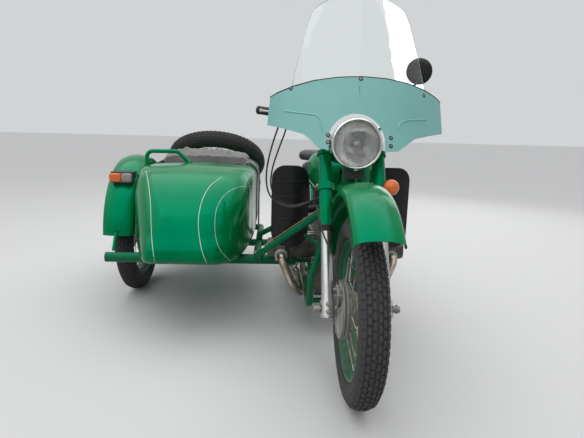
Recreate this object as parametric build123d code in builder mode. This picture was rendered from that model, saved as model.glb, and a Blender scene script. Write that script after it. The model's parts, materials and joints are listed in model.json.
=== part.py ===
from build123d import *
import os
from math import cos, radians, sin, tan

os.makedirs("parts", exist_ok=True)

# Heavy flat-twin motorcycle with a sidecar on its right-hand side, in millimetres.
# The front of the vehicle faces -Y, its left side is +X, and the ground is Z = 0.
# Most places are given from the datum, the ground point below the front axle in the
# motorcycle's middle plane: x to the vehicle's left, y rearward, z up.

# Place of the datum in the part's own frame
BIKE_X = 407.0
FRONT_AXLE_Y = -886.0

# Running gear
WHEELBASE = 1500.0
AXLE_Z = 345.0
TRACK = 1130.0
SIDECAR_WHEEL_Y = 1225.0
TYRE_HALF_WIDTH = 49.0
RIM_RADIUS = 254.0
RIM_HALF_WIDTH = 36.0
AXLE_RADIUS = 10.0
RUNNING_FIT = 0.08
AXLE_HOLE = 10.15
SEAT_GAP = 0.3

# Steering head
RAKE = 27.0
STEERING_OFFSET = 60.0
LEG_SPACING = 107.0
LOWER_YOKE = 455.0
UPPER_YOKE = 604.0
STEM_RADIUS = 14.0

DATUM = Plane(origin=(BIKE_X, FRONT_AXLE_Y, 0))
# The fork's plane lies at the front axle: its z runs up the legs and its y to the rear.
FORK = Plane(
    origin=(BIKE_X, FRONT_AXLE_Y, AXLE_Z),
    x_dir=(1, 0, 0),
    z_dir=(0, sin(radians(RAKE)), cos(radians(RAKE))),
)


def side(x=0.0):
    """Lengthwise plane at x from the datum: sketch x is rearward, sketch y is up."""
    return Plane(origin=DATUM.from_local_coords((x, 0, 0)), x_dir=(0, 1, 0), z_dir=(1, 0, 0))


def front(y=0.0):
    """Crosswise plane at y from the datum: sketch x is left, sketch y is up."""
    return Plane(origin=DATUM.from_local_coords((0, y, 0)), x_dir=(1, 0, 0), z_dir=(0, -1, 0))


def top(z=0.0):
    """Level plane at z: sketch x is left, sketch y is rearward."""
    return Plane(origin=DATUM.from_local_coords((0, 0, z)))


def across(point, along):
    """Plane at a datum point with its normal along a direction."""
    return Plane(origin=DATUM.from_local_coords(point), z_dir=along)


def rod(start, end, diameter, mode=Mode.ADD, base=DATUM):
    """Straight round bar between two points of a plane's frame."""
    first = base.from_local_coords(start)
    last = base.from_local_coords(end)
    with BuildSketch(Plane(origin=first, z_dir=last - first)) as section:
        Circle(diameter / 2)
    extrude(section.sketch, amount=(last - first).length, mode=mode)


def tube(points, diameter, bend, mode=Mode.ADD, base=DATUM):
    """Round tube along straight runs joined by tangent arcs."""
    with BuildLine(base) as run:
        FilletPolyline(*points, radius=bend)
    with BuildSketch(Plane(origin=run.line @ 0, z_dir=run.line % 0)) as section:
        Circle(diameter / 2)
    sweep(section.sketch, path=run.line, mode=mode)


def turned(outline, plane, mode=Mode.ADD):
    """Body turned about a plane's z from an outline of (radius, height) points."""
    with BuildSketch(Plane(origin=plane.origin, x_dir=plane.x_dir, z_dir=-plane.y_dir)) as section:
        with BuildLine():
            Polyline(*outline, close=True)
        make_face()
    revolve(section.sketch, axis=Axis(plane.origin, plane.z_dir), mode=mode)


def save(name, piece):
    """Label one finished piece and write it to its own file."""
    piece.part.label = name
    export_step(piece.part, f"parts/{name}.step")


# Wheel forms: one spoked wheel is used four times, with its axle along X
TYRE_HALF_OUTLINE = (
    (32.0, 243.4),
    (32.0, 254.6),
    (40.0, 258.0),
    (TYRE_HALF_WIDTH, 286.0),
    (46.0, 318.0),
    (34.0, 336.0),
    (14.0, AXLE_Z - 0.8),
    (8.0, AXLE_Z),
)
RIM_HALF_OUTLINE = (
    (RIM_HALF_WIDTH, RIM_RADIUS),
    (RIM_HALF_WIDTH - 3.5, RIM_RADIUS),
    (RIM_HALF_WIDTH - 3.7, 243.0),
    (19.0, 241.0),
    (14.0, 228.0),
)
RIM_INNER_OUTLINE = ((RIM_HALF_WIDTH, 240.5), (21.0, 237.5), (13.0, 224.5))
HUB_OUTLINE = (
    (-56.0, AXLE_RADIUS + RUNNING_FIT),
    (-56.0, 100.0),
    (-50.0, 108.0),
    (-44.0, 108.0),
    (-40.0, 96.0),
    (-34.0, 96.0),
    (-30.0, 78.0),
    (-10.0, 62.0),
    (24.0, 62.0),
    (32.0, 78.0),
    (34.0, 94.0),
    (41.0, 94.0),
    (43.0, 60.0),
    (48.0, 30.0),
    (56.0, 26.0),
    (56.0, AXLE_RADIUS + RUNNING_FIT),
)
SPOKES = 36
SPOKE_RADIUS = 2.0
SPOKE_FLANGE_X = 37.0
SPOKE_FLANGE_RADIUS = 88.0
SPOKE_RIM_RADIUS = 225.5
SPOKE_SWEEP = 38.0


def mirrored(half):
    """Outline points and their mirror images across x = 0, in order round the shape."""
    return tuple(half) + tuple((-x, r) for x, r in reversed(half))


def wheel_ring(outline):
    """Revolve an (x, radius) outline about the wheel's axle."""
    with BuildSketch(Plane.XZ) as section:
        with BuildLine():
            Polyline(*outline, close=True)
        make_face()
    revolve(section.sketch, axis=Axis.X)


with BuildPart() as tyre_form:
    wheel_ring(mirrored(TYRE_HALF_OUTLINE))

with BuildPart() as wheel_form:
    wheel_ring(mirrored(RIM_HALF_OUTLINE) + tuple(reversed(mirrored(RIM_INNER_OUTLINE))))
    wheel_ring(HUB_OUTLINE)
    for index in range(SPOKES):
        flange = 1 if index % 2 else -1
        lean = 1 if (index // 2) % 2 else -1
        at_rim = radians(360.0 / SPOKES * index)
        at_hub = at_rim + radians(SPOKE_SWEEP) * lean
        hub_x = flange * SPOKE_FLANGE_X + 2.2 * lean
        hub_end = Vector(hub_x, SPOKE_FLANGE_RADIUS * cos(at_hub), SPOKE_FLANGE_RADIUS * sin(at_hub))
        rim_end = Vector(flange * 6.0, SPOKE_RIM_RADIUS * cos(at_rim), SPOKE_RIM_RADIUS * sin(at_rim))
        with BuildSketch(Plane(origin=hub_end, z_dir=rim_end - hub_end)) as spoke:
            RegularPolygon(SPOKE_RADIUS, 6)
        extrude(spoke.sketch, amount=(rim_end - hub_end).length)

# Boot lid plane: origin on the hinge line, y down the deck, z out of the deck
TUB_X = -720.0
LID_HINGE_Y = 1612.0
LID_HINGE_Z = 812.0
DECK_SLOPE = 34.0
SPARE_DOWN = 205.0
SPARE_UP = 66.0
LID = Plane(
    origin=DATUM.from_local_coords((TUB_X, LID_HINGE_Y, LID_HINGE_Z)),
    x_dir=(1, 0, 0),
    z_dir=(0, sin(radians(DECK_SLOPE)), cos(radians(DECK_SLOPE))),
)

# Each wheel's middle: its origin, the direction of its axle
WHEEL_PLACES = {
    "front": Plane(DATUM.from_local_coords((0, 0, AXLE_Z)), x_dir=(1, 0, 0)),
    "rear": Plane(DATUM.from_local_coords((0, WHEELBASE, AXLE_Z)), x_dir=(1, 0, 0)),
    "sidecar": Plane(DATUM.from_local_coords((-TRACK, SIDECAR_WHEEL_Y, AXLE_Z)), x_dir=(-1, 0, 0)),
    "spare": Plane(LID.from_local_coords((0, SPARE_DOWN, SPARE_UP)), x_dir=LID.z_dir, z_dir=LID.y_dir),
}
for name, place in WHEEL_PLACES.items():
    for kind, form in (("tyre", tyre_form), ("wheel", wheel_form)):
        with BuildPart() as piece:
            add(form.part.moved(place.location))
        save(f"{name}_{kind}", piece)

# Front fork, in the fork's plane: (x, y, height up the legs from the axle)
LEG_TOP = UPPER_YOKE + 32.0
SLIDER_TOP = 296.0
STANCHION = 34.0
SLIDER = 44.0
COVER = 52.0

with BuildPart() as fork_legs:
    for x in (-LEG_SPACING, LEG_SPACING):
        rod((x, 0, 0), (x, 0, LEG_TOP), STANCHION, base=FORK)
        rod((x, 0, -34), (x, 0, SLIDER_TOP), SLIDER, base=FORK)
        rod((x, 0, -30), (x, 0, 30), SLIDER + 10, base=FORK)
        rod((x, 0, LEG_TOP - 15), (x, 0, LEG_TOP), 40, base=FORK)
    rod((-200, 0, 0), (200, 0, 0), 2 * AXLE_HOLE, Mode.SUBTRACT, base=FORK)
save("fork_legs", fork_legs)

with BuildPart() as front_axle:
    rod((-138, 0, 0), (138, 0, 0), 2 * AXLE_RADIUS, base=FORK)
    for x, way in ((-138, -1), (138, 1)):
        rod((x, 0, 0), (x + way * 9, 0, 0), 26, base=FORK)
save("front_axle", front_axle)


def yoke(height, thickness, boss_radius):
    """Fork yoke: a plate that joins both leg clamps and the stem's boss, hollowed in front."""
    plane = FORK.offset(height)
    with BuildSketch(plane) as plate:
        with Locations((-LEG_SPACING, 0), (LEG_SPACING, 0)):
            Circle(COVER / 2 + 6)
        with Locations((0, STEERING_OFFSET)):
            Circle(boss_radius)
        make_hull()
        with Locations((0, -78)):
            Circle(100, mode=Mode.SUBTRACT)
        with Locations((-LEG_SPACING, 0), (LEG_SPACING, 0)):
            Circle(STANCHION / 2 + SEAT_GAP, mode=Mode.SUBTRACT)
    extrude(plate.sketch, amount=thickness)


HEAD_LOW = LOWER_YOKE + 32.0
HEAD_HIGH = UPPER_YOKE - 4.0
HEAD_BORE = 44.0
LOWER_BOSS = 24.0
UPPER_BOSS = 32.0
with BuildPart() as fork_yokes:
    yoke(LOWER_YOKE, 28, LOWER_BOSS)
    yoke(UPPER_YOKE, 15, UPPER_BOSS)
    rod((0, STEERING_OFFSET, LOWER_YOKE), (0, STEERING_OFFSET, UPPER_YOKE + 4), 2 * STEM_RADIUS, base=FORK)
    for low in (HEAD_LOW + 2, HEAD_HIGH - 18):
        rod((0, STEERING_OFFSET, low), (0, STEERING_OFFSET, low + 16), HEAD_BORE - 2 * RUNNING_FIT, base=FORK)
    rod((0, STEERING_OFFSET, UPPER_YOKE + 15), (0, STEERING_OFFSET, UPPER_YOKE + 27), 42, base=FORK)
save("fork_yokes", fork_yokes)

COVER_SECTIONS = ((SLIDER_TOP + 14, LOWER_YOKE - 1), (LOWER_YOKE + 29, UPPER_YOKE - 1))
EAR = ((188, 898), (188, 944), (210, 950), (246, 884), (246, 862), (238, 850), (214, 868))
with BuildPart() as fork_covers:
    for x in (-LEG_SPACING, LEG_SPACING):
        for low, high in COVER_SECTIONS:
            rod((x, 0, low), (x, 0, high), COVER, base=FORK)
    for x in (-100, 96):
        with BuildSketch(side(x)) as ear:
            with BuildLine():
                Polyline(*EAR, close=True)
            make_face()
        extrude(ear.sketch, amount=4)
    for x in (-LEG_SPACING, LEG_SPACING):
        rod((x, 0, SLIDER_TOP + 1), (x, 0, SLIDER_TOP + 13), COVER - 2, base=FORK)
        rod((x, 0, 0), (x, 0, LEG_TOP), STANCHION + 1, Mode.SUBTRACT, base=FORK)
save("fork_covers", fork_covers)

# Front brake plate on the wheel's right side, held by a torque arm to the slider
PLATE_X = -57.5
with BuildPart() as front_brake_plate:
    brake = Plane(DATUM.from_local_coords((PLATE_X, 0, AXLE_Z)), x_dir=(0, 1, 0), z_dir=(-1, 0, 0))
    turned(((10.4, 0), (106, 0), (106, 7), (96, 12), (60, 14), (40, 18), (10.4, 18)), brake)
    rod((0, 0, 70), (-84.7, 0, 70), 16, base=FORK)
    rod((-66, 0, 0), (-76, 0, 0), 30, base=FORK)
    rod((-72, -62, 392), (-72, -62, 392 + 46), 11)
    rod((-60, 0, 0), (-90, 0, 0), 20.8, Mode.SUBTRACT, base=FORK)
    rod((60, 0, 70), (-57.5, 0, 70), 40, Mode.SUBTRACT, base=FORK)
save("front_brake_plate", front_brake_plate)

# Front mudguard: a crowned strip with skirts, set high over the wheel between the fork's covers
GUARD_RADIUS = 385.0
GUARD_Y = -30.0
GUARD_Z = 425.0
GUARD_HALF = 79.0
GUARD_SKIRT = 46.0
GUARD_SHEET = 3.0


def mudguard(centre, half, radius, skirt, start, sweep_angle):
    """Crowned mudguard with skirts, turned about an axle from a start angle above level forward."""
    origin = DATUM.from_local_coords(centre)
    forward = Vector(0, -cos(radians(start)), sin(radians(start)))
    shoulder = radius - 24
    inner = shoulder - GUARD_SHEET / 2
    hem = radius - skirt
    with BuildSketch(Plane(origin=origin, x_dir=(1, 0, 0), z_dir=Vector(1, 0, 0).cross(forward))) as section:
        with BuildLine():
            Line((-half, hem), (-half, shoulder))
            ThreePointArc((-half, shoulder), (0, radius), (half, shoulder))
            Polyline((half, shoulder), (half, hem), (half - GUARD_SHEET, hem), (half - GUARD_SHEET, inner))
            ThreePointArc((half - GUARD_SHEET, inner), (0, radius - GUARD_SHEET), (GUARD_SHEET - half, inner))
            Polyline((GUARD_SHEET - half, inner), (GUARD_SHEET - half, hem), (-half, hem))
        make_face()
    revolve(section.sketch, axis=Axis(origin, (-1, 0, 0)), revolution_arc=sweep_angle)


with BuildPart() as front_mudguard:
    mudguard((0, GUARD_Y, GUARD_Z), GUARD_HALF, GUARD_RADIUS, GUARD_SKIRT, 41, 135)
    for s in (-1, 1):
        rod((s * 77, 0, 402), (s * (LEG_SPACING - COVER / 2 - SEAT_GAP), 0, 402), 16, base=FORK)
save("front_mudguard", front_mudguard)

# Headlamp: a turned shell in front of the fork, with its rim and glass
LAMP_Y = 156.0
LAMP_Z = 935.0
LAMP_RADIUS = 98.0
LAMP = Plane(DATUM.from_local_coords((0, LAMP_Y, LAMP_Z)), x_dir=(1, 0, 0), z_dir=(0, 1, 0))
with BuildPart() as headlamp:
    turned(
        ((0, -2), (60, 1), (88, 8), (LAMP_RADIUS, 8), (LAMP_RADIUS, 20), (94, 26), (91, 50),
         (80, 80), (58, 102), (30, 114), (0, 117)),
        LAMP,
    )
    for s in (-1, 1):
        rod((s * 85, 204, LAMP_Z - 10), (s * 95.8, 204, LAMP_Z - 10), 14)
save("headlamp", headlamp)

# Handlebar fairing and windscreen: two coaxial curved sheets, swept back and leaning
FAIRING_X = 24.0
FAIRING_Y = 130.0
FAIRING_WING_Y = 330.0
FAIRING_REACH = 385.0
FAIRING_SHEET = 4.0
SCREEN_SHEET = 3.0
FAIRING_LEAN = 20.0
SHEET_LOW = 860.0
SHEET_HIGH = 1560.0


def curved_sheet(back, thickness, mode=Mode.ADD):
    """Sheet of one thickness, bowed in plan and leaning back, at a distance behind the fairing."""
    wing = FAIRING_WING_Y + back
    nose = FAIRING_Y + back
    reach = FAIRING_REACH
    with BuildSketch(Plane(top(SHEET_LOW).from_local_coords((FAIRING_X, 0, 0)), x_dir=(1, 0, 0))) as plan:
        with BuildLine():
            ThreePointArc((-reach, wing), (0, nose), (reach, wing))
            Line((reach, wing), (reach, wing + thickness))
            ThreePointArc((reach, wing + thickness), (0, nose + thickness), (-reach, wing + thickness))
            Line((-reach, wing + thickness), (-reach, wing))
        make_face()
    lean = Vector(0, sin(radians(FAIRING_LEAN)), cos(radians(FAIRING_LEAN)))
    extrude(plan.sketch, amount=SHEET_HIGH - SHEET_LOW, dir=lean, mode=mode)


# Fairing edges from each top corner down and in to the headlamp's opening, as (x, z)
LEFT_EDGE = ((381, 1112), (386, 981), (300, 970), (234, 958), (184, 926), (158, 910), (104, 908))
RIGHT_EDGE = ((-331, 1112), (-341, 998), (-269, 984), (-200, 966), (-167, 941), (-146, 917), (-104, 908))
FAIRING_TOP = 1190.0
with BuildPart() as fairing:
    curved_sheet(0, FAIRING_SHEET)
    with BuildSketch(front(0)) as outline:
        with BuildLine():
            ThreePointArc(RIGHT_EDGE[0], (FAIRING_X, FAIRING_TOP), LEFT_EDGE[0])
            Polyline(*LEFT_EDGE)
            ThreePointArc(LEFT_EDGE[-1], (0, LAMP_Z + 112), RIGHT_EDGE[-1])
            Polyline(*reversed(RIGHT_EDGE))
        make_face()
    extrude(outline.sketch, amount=-700, mode=Mode.INTERSECT)
save("fairing", fairing)

with BuildPart() as windscreen:
    curved_sheet(FAIRING_SHEET + SEAT_GAP, SCREEN_SHEET)
    shape_plane = Plane(front(0).from_local_coords((FAIRING_X, 0, 0)), x_dir=(1, 0, 0), z_dir=(0, -1, 0))
    with BuildSketch(shape_plane) as outline:
        with BuildLine():
            Polyline((-184, 1460), (-205, 1413), (-240, 1285), (-276, 1110))
            Polyline((-276, 1110), (276, 1110), (240, 1285), (205, 1413), (184, 1460))
            ThreePointArc((184, 1460), (0, 1517), (-184, 1460))
        make_face()
    extrude(outline.sketch, amount=-900, mode=Mode.INTERSECT)
save("windscreen", windscreen)

# Handlebar with its two fairing stays, then grips, levers, mirror and signal lamp
BAR = 22.0
BAR_HALF = ((0, 326, 948), (70, 326, 948), (150, 338, 1020), (240, 385, 1042), (378, 470, 1062))
with BuildPart() as handlebar:
    tube(tuple((-x, y, z) for x, y, z in reversed(BAR_HALF[1:])) + BAR_HALF[1:], BAR, 40)
    for x in (-50, 50):
        rod((x, 326, 850), (x, 326, 948), 28)
    for x in (-150, 150):
        rod((x, 338, 1020), (x, 190, 1020), 10)
    with BuildSketch(FORK.offset(UPPER_YOKE + 15)) as below:
        Rectangle(300, 300)
    extrude(below.sketch, amount=-80, mode=Mode.SUBTRACT)
    curved_sheet(-60, 60 + FAIRING_SHEET + SEAT_GAP, Mode.SUBTRACT)
save("handlebar", handlebar)

BAR_BEND = Vector(240, 385, 1042)
BAR_END = Vector(378, 470, 1062)


def bar_point(s, along):
    """Point on one side's straight bar end, at a distance outward from its bend."""
    point = BAR_BEND + (BAR_END - BAR_BEND).normalized() * along
    return (s * point.X, point.Y, point.Z)


BAR_LENGTH = (BAR_END - BAR_BEND).length
with BuildPart() as grips:
    for s in (-1, 1):
        rod(bar_point(s, 30), bar_point(s, BAR_LENGTH + 6), 33)
        rod(bar_point(s, 29), bar_point(s, BAR_LENGTH + 0.3), BAR + 0.6, Mode.SUBTRACT)
save("grips", grips)

LEVER_TIP = (368, 405, 1058)
MIRROR_BOSS = (-254.5, 393.9)
MIRROR_BOSS_TOP = 1078.0
MIRROR_HOLE = 10.0
MIRROR_HOLE_DEPTH = 14.0
with BuildPart() as control_levers:
    for s in (-1, 1):
        rod(bar_point(s, 8), bar_point(s, 26), 34)
        rod(bar_point(s, 17), (s * 260, 350, 1044), 14)
        rod((s * 257, 354, 1044), (s * LEVER_TIP[0], *LEVER_TIP[1:]), 9)
        turned(
            ((0, -8), (5.7, -5.7), (8, 0), (5.7, 5.7), (0, 8)),
            Plane(DATUM.from_local_coords((s * LEVER_TIP[0], *LEVER_TIP[1:]))),
        )
    boss_top = (*MIRROR_BOSS, MIRROR_BOSS_TOP)
    rod((*MIRROR_BOSS, 1046), boss_top, 20)
    rod((*MIRROR_BOSS, MIRROR_BOSS_TOP - MIRROR_HOLE_DEPTH), boss_top, MIRROR_HOLE, Mode.SUBTRACT)
    for s in (-1, 1):
        rod(bar_point(s, 4), bar_point(s, 34), BAR + 0.6, Mode.SUBTRACT)
save("control_levers", control_levers)

with BuildPart() as mirror:
    tube(((205, 366.5, 1046), (207, 367, 1110), (284, 412, 1190)), 9, 18)
    glass = across((290, 408, 1236), (0.25, 1, 0.05))
    turned(((0, -8), (38, -6), (52, 2), (54, 6), (54, 9), (0, 9)), glass)
save("mirror", mirror)

with BuildPart() as turn_signal:
    lens = Plane(DATUM.from_local_coords((136, 124, 775)), x_dir=(1, 0, 0), z_dir=(0, 1, 0))
    turned(((0, 0), (14, 2), (26, 10), (30, 20), (30, 40), (22, 46), (0, 48)), lens)
    rod((136, 168, 775), (112, 205, 775), 13)
    beside = ((LEG_SPACING, 0, LOWER_YOKE), (LEG_SPACING, 0, LEG_TOP))
    rod(*beside, COVER + 12 + 2 * SEAT_GAP, Mode.SUBTRACT, base=FORK)
save("turn_signal", turn_signal)

with BuildPart() as relay_box:
    with BuildSketch(top(798)) as base:
        with Locations((8, 236)):
            RectangleRounded(74, 28, 4)
    extrude(base.sketch, amount=51)
save("relay_box", relay_box)

# Two control cables loop out from the right lever and back in behind the fork leg
CABLE = 7.0
CABLE_BEND = 0.45
CABLE_ROUTES = (
    (
        (-262, 347.6, 1045.5), (-278, 318, 1034), (-302, 326, 975), (-330, 352, 880), (-345, 380, 785),
        (-332, 396, 700), (-275, 398, 655), (-205, 388, 652), (-140, 372, 690), (-47.6, 332.3, 735.9),
    ),
    (
        (-254, 394, 1026.4), (-260, 396, 985), (-288, 404, 910), (-318, 414, 820), (-326, 418, 735),
        (-290, 420, 672), (-232, 418, 650), (-165, 405, 672), (-51.7, 340.3, 719.9),
    ),
)


def corner_radii(points):
    """Bend radius at each corner of a route, from its shorter run and the angle it turns by."""
    places = [Vector(*point) for point in points]
    radii = []
    for before, corner, after in zip(places, places[1:], places[2:]):
        arriving = corner - before
        leaving = after - corner
        half_turn = radians(arriving.get_angle(leaving) / 2)
        shorter = min(arriving.length, leaving.length)
        radii.append(CABLE_BEND * shorter / tan(half_turn))
    return radii


with BuildPart() as control_cables:
    for route in CABLE_ROUTES:
        radii = corner_radii(route)
        print("cable bend radii", [round(radius) for radius in radii])
        tube(route, CABLE, radii)
save("control_cables", control_cables)

# Main frame: head tube, backbone, twin loops under the engine and the rear loop
FRAME_TUBE = 34.0
BACKBONE = 42.0
LOOP_X = 130.0
FRAME_LOW = 165.0
RAIL_Z = 330.0
FRONT_CROSS_Y = 700.0
PIVOT_Y = 1055.0
STAND_Y = 1000.0
STAND_Z = 190.0
STAND_PIN = 16.0
SHOCK_TOP = (1390.0, 712.0)
SHOCK_FOOT = (1452.0, 344.0)
REAR_LOOP_Z = 728.0
SHIELD_STAY = ((88, 362, 480), (160, 520, 500))
BRACKET_FOOT = (FRONT_CROSS_Y - 42, FRONT_CROSS_Y + 42)
DOWNTUBE_TOP = (12, 306, 790)
DOWNTUBE_KNEE = (60, 362, 610)


def on_side(s, point):
    """A left-hand point, or its mirror image when s is -1."""
    return (s * point[0], point[1], point[2])


with BuildPart() as main_frame:
    rod((0, STEERING_OFFSET, HEAD_LOW), (0, STEERING_OFFSET, HEAD_HIGH), 60, base=FORK)
    rod((0, 330, 800), (0, 840, 705), BACKBONE)
    for s in (-1, 1):
        tube(
            (
                on_side(s, DOWNTUBE_TOP),
                on_side(s, DOWNTUBE_KNEE),
                (s * LOOP_X, 440, 320),
                (s * LOOP_X, 490, FRAME_LOW),
                (s * LOOP_X, 1010, FRAME_LOW),
                (s * LOOP_X, PIVOT_Y, RAIL_Z),
                (s * 125, 1030, 690),
            ),
            FRAME_TUBE,
            60,
        )
        tube(((s * 8, 800, 710), (s * 125, 960, 705), (s * 125, SHOCK_TOP[0] + 5, REAR_LOOP_Z)), 30, 60)
        rod((s * LOOP_X, PIVOT_Y, RAIL_Z), (s * 152, PIVOT_Y, RAIL_Z), 44)
        rod((s * 125, *SHOCK_TOP), (s * 149.7, *SHOCK_TOP), 26)
        rod(on_side(s, SHIELD_STAY[0]), on_side(s, SHIELD_STAY[1]), 16)
        rod((s * LOOP_X, STAND_Y, STAND_Z), (s * 107, STAND_Y, STAND_Z), 36)
    rod((-LOOP_X, 560, FRAME_LOW), (LOOP_X, 560, FRAME_LOW), 26)
    rod((-LOOP_X, 930, FRAME_LOW), (LOOP_X, 930, FRAME_LOW), 26)
    rod((-125, SHOCK_TOP[0], REAR_LOOP_Z), (125, SHOCK_TOP[0], REAR_LOOP_Z), 26)
    with BuildSketch(side(-126)) as bracket:
        with BuildLine():
            Polyline((BRACKET_FOOT[0], 168), (BRACKET_FOOT[1], 168))
            Polyline((BRACKET_FOOT[1], 168), (FRONT_CROSS_Y + 28, 345), (FRONT_CROSS_Y - 28, 345))
            Line((FRONT_CROSS_Y - 28, 345), (BRACKET_FOOT[0], 168))
        make_face()
    extrude(bracket.sketch, amount=12)
    rod((-120, FRONT_CROSS_Y, RAIL_Z), (-189.7, FRONT_CROSS_Y, RAIL_Z), 26)
    rod((112.5, STAND_Y, STAND_Z), (104, STAND_Y, STAND_Z), STAND_PIN + 2 * RUNNING_FIT, Mode.SUBTRACT)
    rod((-112.5, STAND_Y, STAND_Z), (-104, STAND_Y, STAND_Z), STAND_PIN + 2 * RUNNING_FIT, Mode.SUBTRACT)
    head_ends = ((0, STEERING_OFFSET, HEAD_LOW - 1), (0, STEERING_OFFSET, HEAD_HIGH + 1))
    rod(*head_ends, HEAD_BORE, Mode.SUBTRACT, base=FORK)
    rod((0, STEERING_OFFSET, HEAD_LOW - 90), (0, STEERING_OFFSET, HEAD_LOW), 60, Mode.SUBTRACT, base=FORK)
save("main_frame", main_frame)

# Engine: crankcase, gearbox, two cylinders with fins, heads and rocker covers
CRANK_Y = 640.0
CRANK_Z = 410.0
CASE_HALF = 100.0
with BuildPart() as crankcase:
    with BuildSketch(side(-CASE_HALF)) as outline:
        with BuildLine():
            Polyline((505, 225), (560, 190), (740, 190), (760, 230), (760, 520))
            Polyline((760, 520), (700, 560), (580, 560), (505, 500), (505, 225))
        make_face()
    extrude(outline.sketch, amount=2 * CASE_HALF)
    fillet(crankcase.edges().filter_by(Axis.X), 14)
    cover = Plane(DATUM.from_local_coords((0, 506, CRANK_Z)), x_dir=(1, 0, 0), z_dir=(0, -1, 0))
    turned(((0, 0), (92, 0), (92, 18), (84, 26), (40, 34), (0, 34)), cover)
    for s in (-1, 1):
        rod((s * 90, CRANK_Y, CRANK_Z), (s * 108, CRANK_Y, CRANK_Z), 124)
save("crankcase", crankcase)

with BuildPart() as gearbox:
    with BuildSketch(side(-85)) as outline:
        with BuildLine():
            Polyline((760.3, 250), (900, 235), (960, 280), (965, 420), (900, 500), (760.3, 515), close=True)
        make_face()
    extrude(outline.sketch, amount=170)
    fillet(gearbox.edges().filter_by(Axis.X).group_by(Axis.Y)[-1], 12)
save("gearbox", gearbox)

CYLINDER_OUT = 246.0
FINS = 8
HEAD_OUT = CYLINDER_OUT + 44.0
with BuildPart() as cylinders:
    for s in (-1, 1):
        rod((s * 108.3, CRANK_Y, CRANK_Z), (s * CYLINDER_OUT, CRANK_Y, CRANK_Z), 96)
        for fin in range(FINS):
            at = 122 + fin * 16
            rod((s * at, CRANK_Y, CRANK_Z), (s * (at + 4), CRANK_Y, CRANK_Z), 128)
save("cylinders", cylinders)

with BuildPart() as cylinder_heads:
    for s in (-1, 1):
        with BuildSketch(side(s * (CYLINDER_OUT + 0.3))) as head:
            with Locations((CRANK_Y, CRANK_Z)):
                RectangleRounded(128, 118, 30)
        extrude(head.sketch, amount=s * 44)
        with BuildSketch(side(s * HEAD_OUT)) as cap:
            with Locations((CRANK_Y, CRANK_Z)):
                RectangleRounded(118, 104, 40)
        extrude(cap.sketch, amount=s * 44, taper=14)
save("cylinder_heads", cylinder_heads)

# Carburettors behind the heads, and the air cleaner on the gearbox with its two ducts
CARB_X = 262.0
CARB_Z = 430.0
with BuildPart() as carburettors:
    for s in (-1, 1):
        rod((s * CARB_X, CRANK_Y + 64.3, CARB_Z), (s * CARB_X, 780, CARB_Z), 44)
        rod((s * CARB_X, 742, 382), (s * CARB_X, 742, 505), 46)
save("carburettors", carburettors)

with BuildPart() as air_cleaner:
    rod((0, 822, 515.3), (0, 822, 640), 122)
    for s in (-1, 1):
        duct = ((s * CARB_X, 780.3, CARB_Z), (s * CARB_X, 830, CARB_Z), (s * 180, 850, 560), (0, 822, 590))
        tube(duct, 40, 34)
save("air_cleaner", air_cleaner)

# Exhausts: header from each head's front, down and under, then a silencer to the rear
HEADER = 38.0
PIPE_X = 172.0
SILENCER_X = 196.0
SILENCER_TURNED = ((0, 0), (20, 0), (42, 60), (42, 440), (24, 510), (24, 560), (0, 560))
with BuildPart() as exhausts:
    for s in (-1, 1):
        tube(
            (
                (s * 268, CRANK_Y - 64.3, CRANK_Z - 20),
                (s * 268, 500, CRANK_Z - 20),
                (s * 210, 484, 262),
                (s * PIPE_X, 580, 196),
                (s * PIPE_X, 880, 196),
                (s * SILENCER_X, 980, 232),
            ),
            HEADER,
            42,
        )
        turned(SILENCER_TURNED, across((s * SILENCER_X, 970, 232), (0, 1, 0.03)))
        rod((s * SILENCER_X, 1042.7, 262), (s * 165, 1042.7, 285), 12)
        rod((s * 168, 1042.7, 285), (s * 147.6, 1042.7, 285), 14)
save("exhausts", exhausts)

# Fuel tank sections from front to tail: (y, width, low z, high z, corner radius)
TANK_SECTIONS = (
    (398, 140, 738, 806, 26), (440, 236, 716, 862, 52), (560, 304, 712, 892, 74), (690, 270, 713, 868, 62),
    (786, 160, 718, 782, 26),
)
BACKBONE_WAY = Vector(0, 510, -95).normalized()
BACKBONE_UP = Vector(0, 95, 510).normalized()
TUNNEL = BACKBONE / 2 + 12


def over_backbone(y, height):
    """Point in the middle plane at a height square to the backbone's axis, above its place at y."""
    return tuple(Vector(0, y, 800 + (y - 330) * BACKBONE_WAY.Z / BACKBONE_WAY.Y) + BACKBONE_UP * height)


with BuildPart() as fuel_tank:
    for y, width, low, high, corner in TANK_SECTIONS:
        with BuildSketch(front(y)):
            with Locations((0, (low + high) / 2)):
                RectangleRounded(width, high - low, corner)
    loft()
    tunnel_start = DATUM.from_local_coords(over_backbone(330, TUNNEL))
    with BuildSketch(Plane(tunnel_start, x_dir=(1, 0, 0), z_dir=BACKBONE_WAY)):
        Rectangle(BACKBONE + 10, 200, align=(Align.CENTER, Align.MIN))
    extrude(amount=560, mode=Mode.SUBTRACT)
save("fuel_tank", fuel_tank)


def saddle(y, z, length, half, height):
    """Pear-shaped saddle pad: wide and round behind, narrow in front."""
    with BuildSketch(top(z)) as plan:
        with BuildLine():
            ThreePointArc((half, y + length * 0.62), (0, y + length), (-half, y + length * 0.62))
            Line((-half, y + length * 0.62), (-half * 0.42, y + 20))
            ThreePointArc((-half * 0.42, y + 20), (0, y), (half * 0.42, y + 20))
            Line((half * 0.42, y + 20), (half, y + length * 0.62))
        make_face()
    extrude(plan.sketch, amount=height, taper=8)


with BuildPart() as rider_saddle:
    saddle(838, 748, 300, 165, 62)
save("rider_saddle", rider_saddle)

with BuildPart() as passenger_saddle:
    saddle(1190, 798, 300, 165, 62)
save("passenger_saddle", passenger_saddle)

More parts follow.
